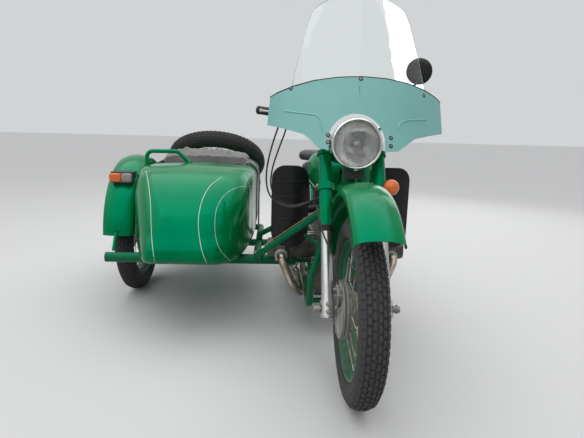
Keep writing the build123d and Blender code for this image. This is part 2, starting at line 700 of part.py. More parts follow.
# Rubber blocks under the tank and the saddles
with BuildPart() as rubber_mounts:
    for y in (455, 700):
        rod(over_backbone(y, 12), over_backbone(y, TUNNEL - SEAT_GAP), 40)
    rod((0, 330, 800), (0, 840, 705), BACKBONE + 2 * SEAT_GAP, Mode.SUBTRACT)
    for s in (-1, 1):
        rod((s * 125, 1060, 726.3), (s * 125, 1060, 747.7), 24)
        rod((s * 60, SHOCK_TOP[0], REAR_LOOP_Z + 13.3), (s * 60, SHOCK_TOP[0], 797.7), 30)
    rod((0, 853, 726.8), (0, 853, 747.7), 26)
save("rubber_mounts", rubber_mounts)

# Rear mudguard with a post under the rear loop and a blank bracket for a number plate
REAR_GUARD_RADIUS = 384.0
BRACKET_Y = 1899.0
BRACKET_Z = 430.0
BRACKET_SHEET = 3.0
BRACKET_HOLES = (120.0, 70.0)
BRACKET_HOLE = 6.4
with BuildPart() as rear_mudguard:
    mudguard((0, WHEELBASE, AXLE_Z), 78, REAR_GUARD_RADIUS, 60, 30, 165)
    rod((0, SHOCK_TOP[0], 706), (0, SHOCK_TOP[0], REAR_LOOP_Z - 13.3), 50)
    for x in (-30, 30):
        rod((x, 1868.5, BRACKET_Z), (x, BRACKET_Y - 1, BRACKET_Z), 14)
    with BuildSketch(front(BRACKET_Y)) as bracket:
        with Locations((0, BRACKET_Z)):
            RectangleRounded(BRACKET_HOLES[0] + 30, BRACKET_HOLES[1] + 30, 10)
            with GridLocations(BRACKET_HOLES[0], BRACKET_HOLES[1], 2, 2):
                Circle(BRACKET_HOLE / 2, mode=Mode.SUBTRACT)
    extrude(bracket.sketch, amount=BRACKET_SHEET)
save("rear_mudguard", rear_mudguard)

SWING_X = 90.0
DRIVE_FRONT_Y = 1396.0
SHAFT_Z = (400.0, 384.0)
with BuildPart() as swing_arm:
    rod((-112.5, PIVOT_Y, RAIL_Z), (112.5, PIVOT_Y, RAIL_Z), 36)
    rod((SWING_X, PIVOT_Y, RAIL_Z), (SWING_X, 1484, AXLE_Z), 30)
    rod((-SWING_X, PIVOT_Y, RAIL_Z), (-SWING_X, DRIVE_FRONT_Y, 342.4), 30)
    rod((SWING_X - 20, WHEELBASE, AXLE_Z), (SWING_X + 30, WHEELBASE, AXLE_Z), 44)
    rod((SWING_X, *SHOCK_FOOT), (149.7, *SHOCK_FOOT), 22)
    rod((60, WHEELBASE, AXLE_Z), (160, WHEELBASE, AXLE_Z), 2 * AXLE_HOLE, Mode.SUBTRACT)
save("swing_arm", swing_arm)

# Final drive on the right of the rear wheel, with the shaft from the gearbox
with BuildPart() as final_drive:
    drive = Plane(DATUM.from_local_coords((-59, WHEELBASE, AXLE_Z)), x_dir=(0, 1, 0), z_dir=(-1, 0, 0))
    turned(((10.4, 0), (100, 0), (100, 30), (88, 46), (50, 64), (30, 70), (10.4, 70)), drive)
    rod((-SWING_X, DRIVE_FRONT_Y + 0.3, 342.4), (-SWING_X, 1440, 344), 44)
    rod((-90, *SHOCK_FOOT), (-149.7, *SHOCK_FOOT), 22)
    rod((-55, WHEELBASE, AXLE_Z), (-140, WHEELBASE, AXLE_Z), 20.8, Mode.SUBTRACT)
save("final_drive", final_drive)

with BuildPart() as drive_shaft:
    rod((-64, 965.3, SHAFT_Z[0]), (-64, 1000, SHAFT_Z[0]), 38)
    rod((-64, 995, SHAFT_Z[0]), (-74, 1400, SHAFT_Z[1]), 20)
    rod((-74, 1385, SHAFT_Z[1]), (-74, 1407.5, SHAFT_Z[1]), 34)
    rod((-59, WHEELBASE, AXLE_Z), (-130, WHEELBASE, AXLE_Z), 200.6, Mode.SUBTRACT)
save("drive_shaft", drive_shaft)

with BuildPart() as rear_axle:
    rod((-139, WHEELBASE, AXLE_Z), (139, WHEELBASE, AXLE_Z), 2 * AXLE_RADIUS)
    for x, way in ((-129.3, -1), (128.3, 1)):
        rod((x, WHEELBASE, AXLE_Z), (x + way * 12, WHEELBASE, AXLE_Z), 30)
save("rear_axle", rear_axle)

SHOCK_X = 164.0
with BuildPart() as shock_absorbers:
    for s in (-1, 1):
        low = DATUM.from_local_coords((s * SHOCK_X, *SHOCK_FOOT))
        high = DATUM.from_local_coords((s * SHOCK_X, *SHOCK_TOP))
        shock = Plane(low, x_dir=(1, 0, 0), z_dir=high - low)
        reach = (high - low).length
        turned(
            ((0, 0), (12, 0), (12, 28), (20, 32), (20, 150), (27, 153), (27, reach - 42), (12, reach - 34),
             (12, reach), (0, reach)),
            shock,
        )
        for y, z in (SHOCK_FOOT, SHOCK_TOP):
            rod((s * 150, y, z), (s * (SHOCK_X + 14), y, z), 34)
save("shock_absorbers", shock_absorbers)

with BuildPart() as battery:
    with BuildSketch(top(530)) as base:
        with Locations((0, 955)):
            RectangleRounded(170, 110, 6)
    extrude(base.sketch, amount=140)
    with BuildSketch(top(560)) as strap:
        with Locations((0, 1015)):
            Rectangle(250, 9)
    extrude(strap.sketch, amount=24)
save("battery", battery)

# Leg shields: bowed sheets with a round top and pressed ribs
SHIELD_IN = 150.0
SHIELD_OUT = 315.0
SHIELD_LOW = 455.0
SHIELD_TOP = 822.0
SHIELD_Y = 520.0
SHIELD_BOW = 26.0
SHIELD_RIBS = (575.0, 655.0, 735.0)


def shield_band(s, thickness, low, high):
    """Upright bowed band on one side, from low to high."""
    inner = s * SHIELD_IN
    middle = s * (SHIELD_IN + SHIELD_OUT) / 2
    outer = s * SHIELD_OUT
    back = SHIELD_Y + thickness
    with BuildSketch(top(low)) as plan:
        with BuildLine():
            ThreePointArc((inner, SHIELD_Y), (middle, SHIELD_Y - SHIELD_BOW), (outer, SHIELD_Y))
            Line((outer, SHIELD_Y), (outer, back))
            ThreePointArc((outer, back), (middle, back - SHIELD_BOW), (inner, back))
            Line((inner, back), (inner, SHIELD_Y))
        make_face()
    extrude(plan.sketch, amount=high - low, dir=(0, 0, 1))


with BuildPart() as leg_shields:
    for s in (-1, 1):
        shield_band(s, 4, SHIELD_LOW, SHIELD_TOP)
    with BuildSketch(front(450)) as outline:
        for s in (-1, 1):
            with Locations((s * (SHIELD_IN + SHIELD_OUT) / 2, (SHIELD_LOW + SHIELD_TOP) / 2)):
                RectangleRounded(SHIELD_OUT - SHIELD_IN, SHIELD_TOP - SHIELD_LOW, 60)
    extrude(outline.sketch, amount=-120, mode=Mode.INTERSECT)
    for s in (-1, 1):
        for z in SHIELD_RIBS:
            shield_band(s, 10, z, z + 12)
        rod(on_side(s, SHIELD_STAY[0]), on_side(s, SHIELD_STAY[1]), 16.6, Mode.SUBTRACT)
save("leg_shields", leg_shields)

# Foot pegs stand on the lower frame tubes; pedals hang on the gearbox
PEG_Y = 900.0
with BuildPart() as foot_controls:
    for s in (-1, 1):
        rod((s * LOOP_X, PEG_Y, FRAME_LOW + 17.3), (s * 142, PEG_Y, 290), 20)
        rod((s * 136, PEG_Y, 290), (s * 262, PEG_Y, 296), 26)
    tube(((85.3, 930, 330), (112, 930, 330), (150, 930, 322), (196, 800, 300)), 12, 10)
    tube(((85.3, 890, 420), (108, 890, 420), (160, 950, 520), (200, 950, 524)), 16, 14)
    tube(((-85.3, 840, 300), (-150, 840, 300), (-196, 740, 270), (-226, 740, 270)), 12, 10)
save("foot_controls", foot_controls)

# Centre stand, folded back: two legs on a pivot bar, with splayed feet
STAND_LEG_X = 92.0
STAND_END = (STAND_Y + 203.0, STAND_Z + 26.0)
with BuildPart() as centre_stand:
    rod((-112, STAND_Y, STAND_Z), (112, STAND_Y, STAND_Z), STAND_PIN)
    for s in (-1, 1):
        rod((s * STAND_LEG_X, STAND_Y, STAND_Z), (s * STAND_LEG_X, *STAND_END), 22)
        rod((s * STAND_LEG_X, *STAND_END), (s * 124, *STAND_END), 22)
    rod((-STAND_LEG_X, STAND_Y + 90, STAND_Z + 11.5), (STAND_LEG_X, STAND_Y + 90, STAND_Z + 11.5), 18)
save("centre_stand", centre_stand)

# Sidecar chassis: cross tubes and two long rails at one height
RAIL_IN = -390.0
RAIL_OUT = -985.0
CROSS = 50.0
RAIL = 40.0
CROSS_END = -1147.0
ARM_X = -1042.0
ARM_THICK = 22.0
REAR_CROSS_Y = 1500.0
with BuildPart() as sidecar_frame:
    rod((-190, FRONT_CROSS_Y, RAIL_Z), (-240, FRONT_CROSS_Y, RAIL_Z), 58)
    rod((-230, FRONT_CROSS_Y, RAIL_Z), (CROSS_END, FRONT_CROSS_Y, RAIL_Z), CROSS)
    rod((-152.3, PIVOT_Y, RAIL_Z), (-200, PIVOT_Y, RAIL_Z), 54)
    rod((-190, PIVOT_Y, RAIL_Z), (ARM_X + 0.5, PIVOT_Y, RAIL_Z), RAIL)
    for x in (RAIL_IN, RAIL_OUT):
        rod((x, FRONT_CROSS_Y, RAIL_Z), (x, REAR_CROSS_Y, RAIL_Z), RAIL)
    rod((RAIL_IN, REAR_CROSS_Y, RAIL_Z), (RAIL_OUT, REAR_CROSS_Y, RAIL_Z), RAIL)
save("sidecar_frame", sidecar_frame)

# Upper struts from the sidecar rail to the motorcycle frame
# Each row: foot on the rail, knee above it, end on a frame tube, that tube's direction
DOWNTUBE_RUN = Vector(*on_side(-1, DOWNTUBE_KNEE)) - Vector(*on_side(-1, DOWNTUBE_TOP))
CLAMP_DROP = 102.0
UPPER_CLAMP = Vector(*on_side(-1, DOWNTUBE_TOP)) - DOWNTUBE_RUN * (CLAMP_DROP / DOWNTUBE_RUN.Z)
STRUTS = (
    ((-376, 690, 348), (-370.5, 535, 402), tuple(UPPER_CLAMP), tuple(DOWNTUBE_RUN)),
    ((-386, PIVOT_Y, 350.3), (-386, PIVOT_Y, 380), (-127.4, 1041.8, 520), (5, -25, 360)),
)
CLAMP_HALF = 15.0
with BuildPart() as sidecar_struts:
    for foot, knee, end, tube_way in STRUTS:
        rod(foot, knee, 34)
        rod(knee, end, 30)
        turned(((0, -17), (17, 0), (0, 17)), Plane(DATUM.from_local_coords(knee)))
        way = Vector(*tube_way).normalized()
        low = tuple(Vector(*end) - way * CLAMP_HALF)
        high = tuple(Vector(*end) + way * CLAMP_HALF)
        rod(low, high, FRAME_TUBE + 16)
        beyond = tuple(Vector(*end) - way * 60)
        above = tuple(Vector(*end) + way * 60)
        rod(beyond, above, FRAME_TUBE + 2 * SEAT_GAP, Mode.SUBTRACT)
    rod((-500, FRONT_CROSS_Y, RAIL_Z), (-300, FRONT_CROSS_Y, RAIL_Z), CROSS + 2 * SEAT_GAP, Mode.SUBTRACT)
    rod((-500, PIVOT_Y, RAIL_Z), (-300, PIVOT_Y, RAIL_Z), RAIL + 2 * SEAT_GAP, Mode.SUBTRACT)
save("sidecar_struts", sidecar_struts)

with BuildPart() as sidecar_axle:
    with BuildSketch(side(ARM_X)) as arm:
        with Locations((PIVOT_Y, RAIL_Z), (SIDECAR_WHEEL_Y, AXLE_Z)):
            Circle(26)
        make_hull()
    extrude(arm.sketch, amount=-ARM_THICK)
    rod((ARM_X - 10, SIDECAR_WHEEL_Y, AXLE_Z), (-TRACK - 64, SIDECAR_WHEEL_Y, AXLE_Z), 2 * AXLE_RADIUS)
    rod((ARM_X - 10, SIDECAR_WHEEL_Y, AXLE_Z), (-TRACK + 57.5, SIDECAR_WHEEL_Y, AXLE_Z), 200)
    rod((-TRACK - 56.5, SIDECAR_WHEEL_Y, AXLE_Z), (-TRACK - 66, SIDECAR_WHEEL_Y, AXLE_Z), 30)
save("sidecar_axle", sidecar_axle)

# Sidecar tub: side view, plan and section crossed, then hollowed into cockpit and boot
TUB_FLOOR = RAIL_Z + CROSS / 2 + SEAT_GAP
TUB_HALF = 310.0
TUB_TOP = 795.0
TUB_WALL = 4.0
BULKHEAD_Y = 1500.0
DECK = LID.offset(-8)
DECK_TOP_Y = 1622.0
COCKPIT = (1015.0, 1480.0, 262.0)
HINGE_X = 150.0
HINGE_PIN = 8.0


def tub_form(inset):
    """Solid shape of the tub, drawn in by an inset on every side."""
    with BuildPart() as form:
        with BuildSketch(side(TUB_X - 400)) as profile:
            with BuildLine():
                Polyline((1000, TUB_TOP), (DECK_TOP_Y, TUB_TOP), (2062, 498), (2046, 380), (2006, TUB_FLOOR))
                Line((2006, TUB_FLOOR), (470, TUB_FLOOR))
                ThreePointArc((470, TUB_FLOOR), (408, 372), (390, 430))
                ThreePointArc((390, 430), (560, 668), (1000, TUB_TOP))
            make_face()
            if inset:
                offset(amount=-inset, kind=Kind.INTERSECTION)
        extrude(profile.sketch, amount=800)
        with BuildSketch(Plane(top(0).from_local_coords((TUB_X, 0, 300)), x_dir=(1, 0, 0))) as plan:
            with BuildLine():
                ThreePointArc((-165, 386), (0, 372), (215, 386))
                ThreePointArc((215, 386), (278, 640), (TUB_HALF, 1000))
                Line((TUB_HALF, 1000), (TUB_HALF, 1600))
                ThreePointArc((TUB_HALF, 1600), (285, 1840), (215, 2070))
                Line((215, 2070), (-215, 2070))
                ThreePointArc((-215, 2070), (-285, 1840), (-TUB_HALF, 1600))
                Line((-TUB_HALF, 1600), (-TUB_HALF, 1000))
                ThreePointArc((-TUB_HALF, 1000), (-262, 660), (-165, 386))
            make_face()
            fillet(plan.vertices().sort_by_distance((215, 386, 0))[0], 145)
            fillet(plan.vertices().sort_by_distance((-165, 386, 0))[0], 40)
            if inset:
                offset(amount=-inset, kind=Kind.INTERSECTION)
        extrude(plan.sketch, amount=600, mode=Mode.INTERSECT)
        across_plane = Plane(front(300).from_local_coords((TUB_X, 0, 0)), x_dir=(1, 0, 0), z_dir=(0, -1, 0))
        with BuildSketch(across_plane) as section:
            with BuildLine():
                ThreePointArc((-250, 780), (0, TUB_TOP), (250, 780))
                ThreePointArc((250, 780), (293, 756), (TUB_HALF, 710))
                Line((TUB_HALF, 710), (TUB_HALF, 430))
                ThreePointArc((TUB_HALF, 430), (286, 376), (232, TUB_FLOOR))
                Line((232, TUB_FLOOR), (-232, TUB_FLOOR))
                ThreePointArc((-232, TUB_FLOOR), (-286, 376), (-TUB_HALF, 430))
                Line((-TUB_HALF, 430), (-TUB_HALF, 710))
                ThreePointArc((-TUB_HALF, 710), (-293, 756), (-250, 780))
            make_face()
            if inset:
                offset(amount=-inset, kind=Kind.INTERSECTION)
        extrude(section.sketch, amount=-1900, mode=Mode.INTERSECT)
    return form.part


tub_outside = tub_form(0)
tub_inside = tub_form(TUB_WALL)
tub_reach = tub_form(-SEAT_GAP)

with BuildPart() as tub_hollows:
    add(tub_inside)
    with BuildSketch(side(TUB_X - 400)) as wall:
        with Locations((BULKHEAD_Y + TUB_WALL / 2, 600)):
            Rectangle(TUB_WALL, 900)
    extrude(wall.sketch, amount=800, mode=Mode.SUBTRACT)

with BuildPart() as sidecar_tub:
    add(tub_outside)
    add(tub_hollows.part, mode=Mode.SUBTRACT)
    with BuildSketch(top(640)) as opening:
        with Locations((TUB_X, (COCKPIT[0] + COCKPIT[1]) / 2)):
            RectangleRounded(2 * COCKPIT[2], COCKPIT[1] - COCKPIT[0], 90)
    extrude(opening.sketch, amount=300, mode=Mode.SUBTRACT)
    with BuildSketch(DECK) as hatch:
        with BuildLine():
            Polyline((-222, 60), (222, 60), (170, 450), (-170, 450), close=True)
        make_face()
    extrude(hatch.sketch, amount=60, both=True, mode=Mode.SUBTRACT)
    for x in (-HINGE_X, HINGE_X):
        rod((x - 37, 0, 0), (x + 37, 0, 0), HINGE_PIN, base=LID)
        for way in (-1, 1):
            rod((x + way * 30, 0, 0), (x + way * 37, 0, 0), 16, base=LID)
            with BuildSketch(top(TUB_TOP - 16)) as foot:
                with Locations((TUB_X + x + way * 33.5, LID_HINGE_Y)):
                    Rectangle(7, 14)
            extrude(foot.sketch, amount=LID_HINGE_Z - TUB_TOP + 16)
save("sidecar_tub", sidecar_tub)

LID_THICK = 5.0
with BuildPart() as boot_lid:
    with BuildSketch(DECK.offset(SEAT_GAP)) as plate:
        with BuildLine():
            Polyline((-250, 36), (250, 36), (192, 480), (-192, 480), close=True)
        make_face()
    extrude(plate.sketch, amount=LID_THICK)
    rod((0, SPARE_DOWN, -4), (0, SPARE_DOWN, 9.7), 120, base=LID)
    rod((0, SPARE_DOWN, 0), (0, SPARE_DOWN, SPARE_UP + 66), 2 * AXLE_RADIUS, base=LID)
    rod((0, SPARE_DOWN, SPARE_UP + 56.3), (0, SPARE_DOWN, SPARE_UP + 66), 54, base=LID)
    for x in (-HINGE_X, HINGE_X):
        rod((x - 25, 0, 0), (x + 25, 0, 0), 16, base=LID)
        with BuildSketch(DECK.offset(SEAT_GAP)) as tab:
            with Locations((x, 22)):
                Rectangle(50, 40)
        extrude(tab.sketch, amount=LID_THICK)
        rod((x - 26, 0, 0), (x + 26, 0, 0), HINGE_PIN + 2 * RUNNING_FIT, Mode.SUBTRACT, base=LID)
save("boot_lid", boot_lid)

SEAT_LOW = TUB_FLOOR + TUB_WALL + SEAT_GAP
with BuildPart() as sidecar_seat:
    with BuildSketch(side(TUB_X - 230)) as outline:
        with BuildLine():
            Polyline((1060, SEAT_LOW), (1440, SEAT_LOW), (1488, 560))
            Polyline((1488, 560), (1474, 770), (1420, 770), (1400, 520), (1060, 500), close=False)
            Line((1060, 500), (1060, SEAT_LOW))
        make_face()
    extrude(outline.sketch, amount=460)
save("sidecar_seat", sidecar_seat)

# Canvas cover: over the seat back and down the sidecar's inner side, from outer edge to inner hem
COVER_INSIDE = (
    (-1006, 760), (-982, 776), (-950, 799), (-490, 799), (-458, 776),
    (-432, 760), (-414, 735), (-411, 710), (-411, 365),
)
COVER_OUTSIDE = (
    (-402, 365), (-402, 714), (-408, 745), (-426, 772), (-452, 788),
    (-484, 811), (-954, 811), (-988, 788), (-1012, 770),
)
with BuildPart() as cockpit_cover:
    with BuildSketch(front(1260)) as over:
        with BuildLine():
            Polyline(*COVER_INSIDE, *COVER_OUTSIDE, close=True)
        make_face()
    extrude(over.sketch, amount=-200)
    add(tub_reach, mode=Mode.SUBTRACT)
save("cockpit_cover", cockpit_cover)

# Sidecar wheel's mudguard with its front stay, and the two marker lamps on it
CAR_GUARD_Z = 388.0
CAR_GUARD_X = -1125.0
CAR_GUARD_RADIUS = 430.0
with BuildPart() as sidecar_mudguard:
    mudguard((CAR_GUARD_X, SIDECAR_WHEEL_Y, CAR_GUARD_Z), 81, CAR_GUARD_RADIUS, 60, 4, 166)
    rod((CAR_GUARD_X, FRONT_CROSS_Y, RAIL_Z), (CAR_GUARD_X, 803, 440), 18)
    rod((-1200, FRONT_CROSS_Y, RAIL_Z), (-1000, FRONT_CROSS_Y, RAIL_Z), CROSS + 2 * SEAT_GAP, Mode.SUBTRACT)
    rod((-1033.7, 1150, 780), (-1050, 1150, 780), 30)
save("sidecar_mudguard", sidecar_mudguard)

# Lamps on the mudguards: marker, sidecar tail and motorcycle tail, as (x, y, z, width, depth, height)
LAMPS = (
    (CAR_GUARD_X + 10, 930, 683, 120, 90, 58),
    (CAR_GUARD_X, 1560, 640, 110, 80, 58),
    (0, 1874, 500, 84, 60, 66),
)
with BuildPart() as lamps:
    for x, y, z, width, depth, height in LAMPS:
        with BuildSketch(top(z)) as lamp:
            with Locations((x, y)):
                RectangleRounded(width, depth, 18)
        extrude(lamp.sketch, amount=height)
    for x, y, z, radius in ((CAR_GUARD_X, SIDECAR_WHEEL_Y, CAR_GUARD_Z, CAR_GUARD_RADIUS),
                            (0, WHEELBASE, AXLE_Z, REAR_GUARD_RADIUS)):
        rod((x - 150, y, z), (x + 150, y, z), 2 * (radius + SEAT_GAP), Mode.SUBTRACT)
save("lamps", lamps)

RAIL_ROUTE = ((-1008, 1000, 700), (-1008, 1000, 850), (-840, 1000, 852), (-775, 1000, 790))
with BuildPart() as grab_rail:
    tube(RAIL_ROUTE, 22, 34)
    add(tub_reach, mode=Mode.SUBTRACT)
save("grab_rail", grab_rail)
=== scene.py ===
"""Finishes, trim, tread and soft goods for a sidecar motorcycle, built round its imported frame."""

import json
import logging
import math
from dataclasses import dataclass, field
from enum import Enum
from typing import Callable, Iterable, Sequence

import bmesh
import bpy
import numpy as np
from mathutils import Matrix, Vector
from mathutils.bvhtree import BVHTree

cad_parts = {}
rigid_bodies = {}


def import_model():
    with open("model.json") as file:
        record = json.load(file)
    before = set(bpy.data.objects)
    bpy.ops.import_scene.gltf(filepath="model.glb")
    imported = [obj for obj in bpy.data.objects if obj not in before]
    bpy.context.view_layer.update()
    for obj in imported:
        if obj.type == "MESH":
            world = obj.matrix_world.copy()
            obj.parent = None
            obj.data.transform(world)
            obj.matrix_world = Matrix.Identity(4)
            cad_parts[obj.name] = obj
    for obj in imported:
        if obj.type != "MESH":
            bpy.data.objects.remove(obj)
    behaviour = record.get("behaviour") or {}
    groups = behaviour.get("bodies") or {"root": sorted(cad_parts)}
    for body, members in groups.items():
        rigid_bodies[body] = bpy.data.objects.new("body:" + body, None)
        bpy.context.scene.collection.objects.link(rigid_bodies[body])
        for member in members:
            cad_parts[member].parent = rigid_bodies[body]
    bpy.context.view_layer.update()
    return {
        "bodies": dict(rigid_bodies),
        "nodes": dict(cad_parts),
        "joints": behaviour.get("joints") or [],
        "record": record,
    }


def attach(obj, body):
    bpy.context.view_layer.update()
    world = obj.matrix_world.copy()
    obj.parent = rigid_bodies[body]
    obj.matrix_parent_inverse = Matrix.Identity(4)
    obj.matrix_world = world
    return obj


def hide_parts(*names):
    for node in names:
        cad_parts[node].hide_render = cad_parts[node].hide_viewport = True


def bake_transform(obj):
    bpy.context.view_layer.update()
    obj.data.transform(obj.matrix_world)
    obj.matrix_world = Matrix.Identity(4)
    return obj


log = logging.getLogger("sidecar_outfit")

Colour = tuple[float, float, float]
Point = tuple[float, float, float]
Outline = Sequence[tuple[float, float]]
Nodes = dict[str, bpy.types.Object]

# The datum is the ground below the front axle; places given in millimetres start from it.
DATUM = Vector((0.407, -0.886, 0.0))
RAKE = math.radians(27.0)
AXLE_Z = 345.0
DECK_SLOPE = math.radians(34.0)
TUB_X = -720.0
LID_HINGE = (TUB_X, 1612.0, 812.0)
CRANK_Y, CRANK_Z = 640.0, 410.0
SENSOR_WIDTH = 36.0
PHOTO_WIDTH, PHOTO_HEIGHT = 584.0, 438.0

LEFT = Vector((1, 0, 0))
BACK = Vector((0, 1, 0))
FRONT = Vector((0, -1, 0))
UP = Vector((0, 0, 1))


def mm(x: float, y: float, z: float) -> Vector:
    """Turn a vector in millimetres into metres."""
    return Vector((x, y, z)) / 1000.0


def place(x: float, y: float, z: float) -> Vector:
    """Turn millimetres from the datum into metres in the part's frame."""
    return DATUM + mm(x, y, z)


def fork_place(x: float, y: float, up: float) -> Vector:
    """Turn millimetres along the raked fork, from its axle, into metres in the part's frame."""
    back = y * math.cos(RAKE) + up * math.sin(RAKE)
    rise = up * math.cos(RAKE) - y * math.sin(RAKE)
    return place(x, back, AXLE_Z + rise)


def lid_place(x: float, y: float, z: float) -> Vector:
    """Turn millimetres on the boot lid, from its hinge, into metres in the part's frame."""
    back = y * math.cos(DECK_SLOPE) + z * math.sin(DECK_SLOPE)
    rise = z * math.cos(DECK_SLOPE) - y * math.sin(DECK_SLOPE)
    return place(LID_HINGE[0] + x, LID_HINGE[1] + back, LID_HINGE[2] + rise)


class Body(str, Enum):
    """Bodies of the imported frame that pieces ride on."""

    CHASSIS = "chassis"
    FORK = "fork"
    FRONT_WHEEL = "front_wheel_body"
    REAR_WHEEL = "rear_wheel_body"
    SIDECAR_WHEEL = "sidecar_wheel_body"
    LID = "lid"
    STAND = "stand"


# Node trees


class Tree:
    """Short hand for building one node tree."""

    def __init__(self, tree: bpy.types.NodeTree) -> None:
        """Hold the tree."""
        self.tree = tree

    def node(self, kind: str, settings: dict | None = None, **values: object) -> bpy.types.Node:
        """Add a node, set its options, and link or set its inputs.

        Args:
            kind: The node's type name without the ShaderNode prefix.
            settings: Options of the node itself.
            values: Input names, with underscores for spaces, and a socket or a constant for each.

        Returns:
            The new node.
        """
        made = self.tree.nodes.new("ShaderNode" + kind)
        for key, value in (settings or {}).items():
            setattr(made, key, value)
        for key, value in values.items():
            self.feed(
                made.inputs[int(key[1:])] if key[1:].isdigit() else made.inputs[key.replace("_", " ")], value,
            )
        return made

    def feed(self, socket: bpy.types.NodeSocket, value: object) -> None:
        """Link a socket to another, or set it to a constant."""
        if isinstance(value, bpy.types.NodeSocket):
            self.tree.links.new(value, socket)
        elif isinstance(value, tuple) and len(value) == 3 and socket.type == "RGBA":
            socket.default_value = (*value, 1.0)
        else:
            socket.default_value = value

    def calc(self, operation: str, first: object, second: object = 0.0) -> bpy.types.NodeSocket:
        """Return a clamped arithmetic result of two values."""
        made = self.node("Math", {"operation": operation, "use_clamp": True}, i0=first, i1=second)
        return made.outputs[0]

    def remap(
        self, value: object, low: float, high: float, to_low: float = 0.0, to_high: float = 1.0,
    ) -> bpy.types.NodeSocket:
        """Return a value moved smoothly from one range to another."""
        made = self.node(
            "MapRange",
            {"interpolation_type": "SMOOTHSTEP"},
            Value=value, From_Min=low, From_Max=high, To_Min=to_low, To_Max=to_high,
        )
        return made.outputs["Result"]

    def mix(self, mask: object, first: object, second: object) -> bpy.types.NodeSocket:
        """Return a colour that goes from the first to the second where the mask is one."""
        made = self.node("Mix", {"data_type": "RGBA"})
        self.feed(made.inputs["Factor"], mask)
        self.feed(made.inputs[6], first)
        self.feed(made.inputs[7], second)
        return made.outputs[2]

    def noise(
        self, vector: object, scale: object, detail: float = 4.0, rough: float = 0.55,
    ) -> bpy.types.NodeSocket:
        """Return the value of a noise texture."""
        made = self.node("TexNoise", None, Vector=vector, Scale=scale, Detail=detail, Roughness=rough)
        return made.outputs["Fac"]


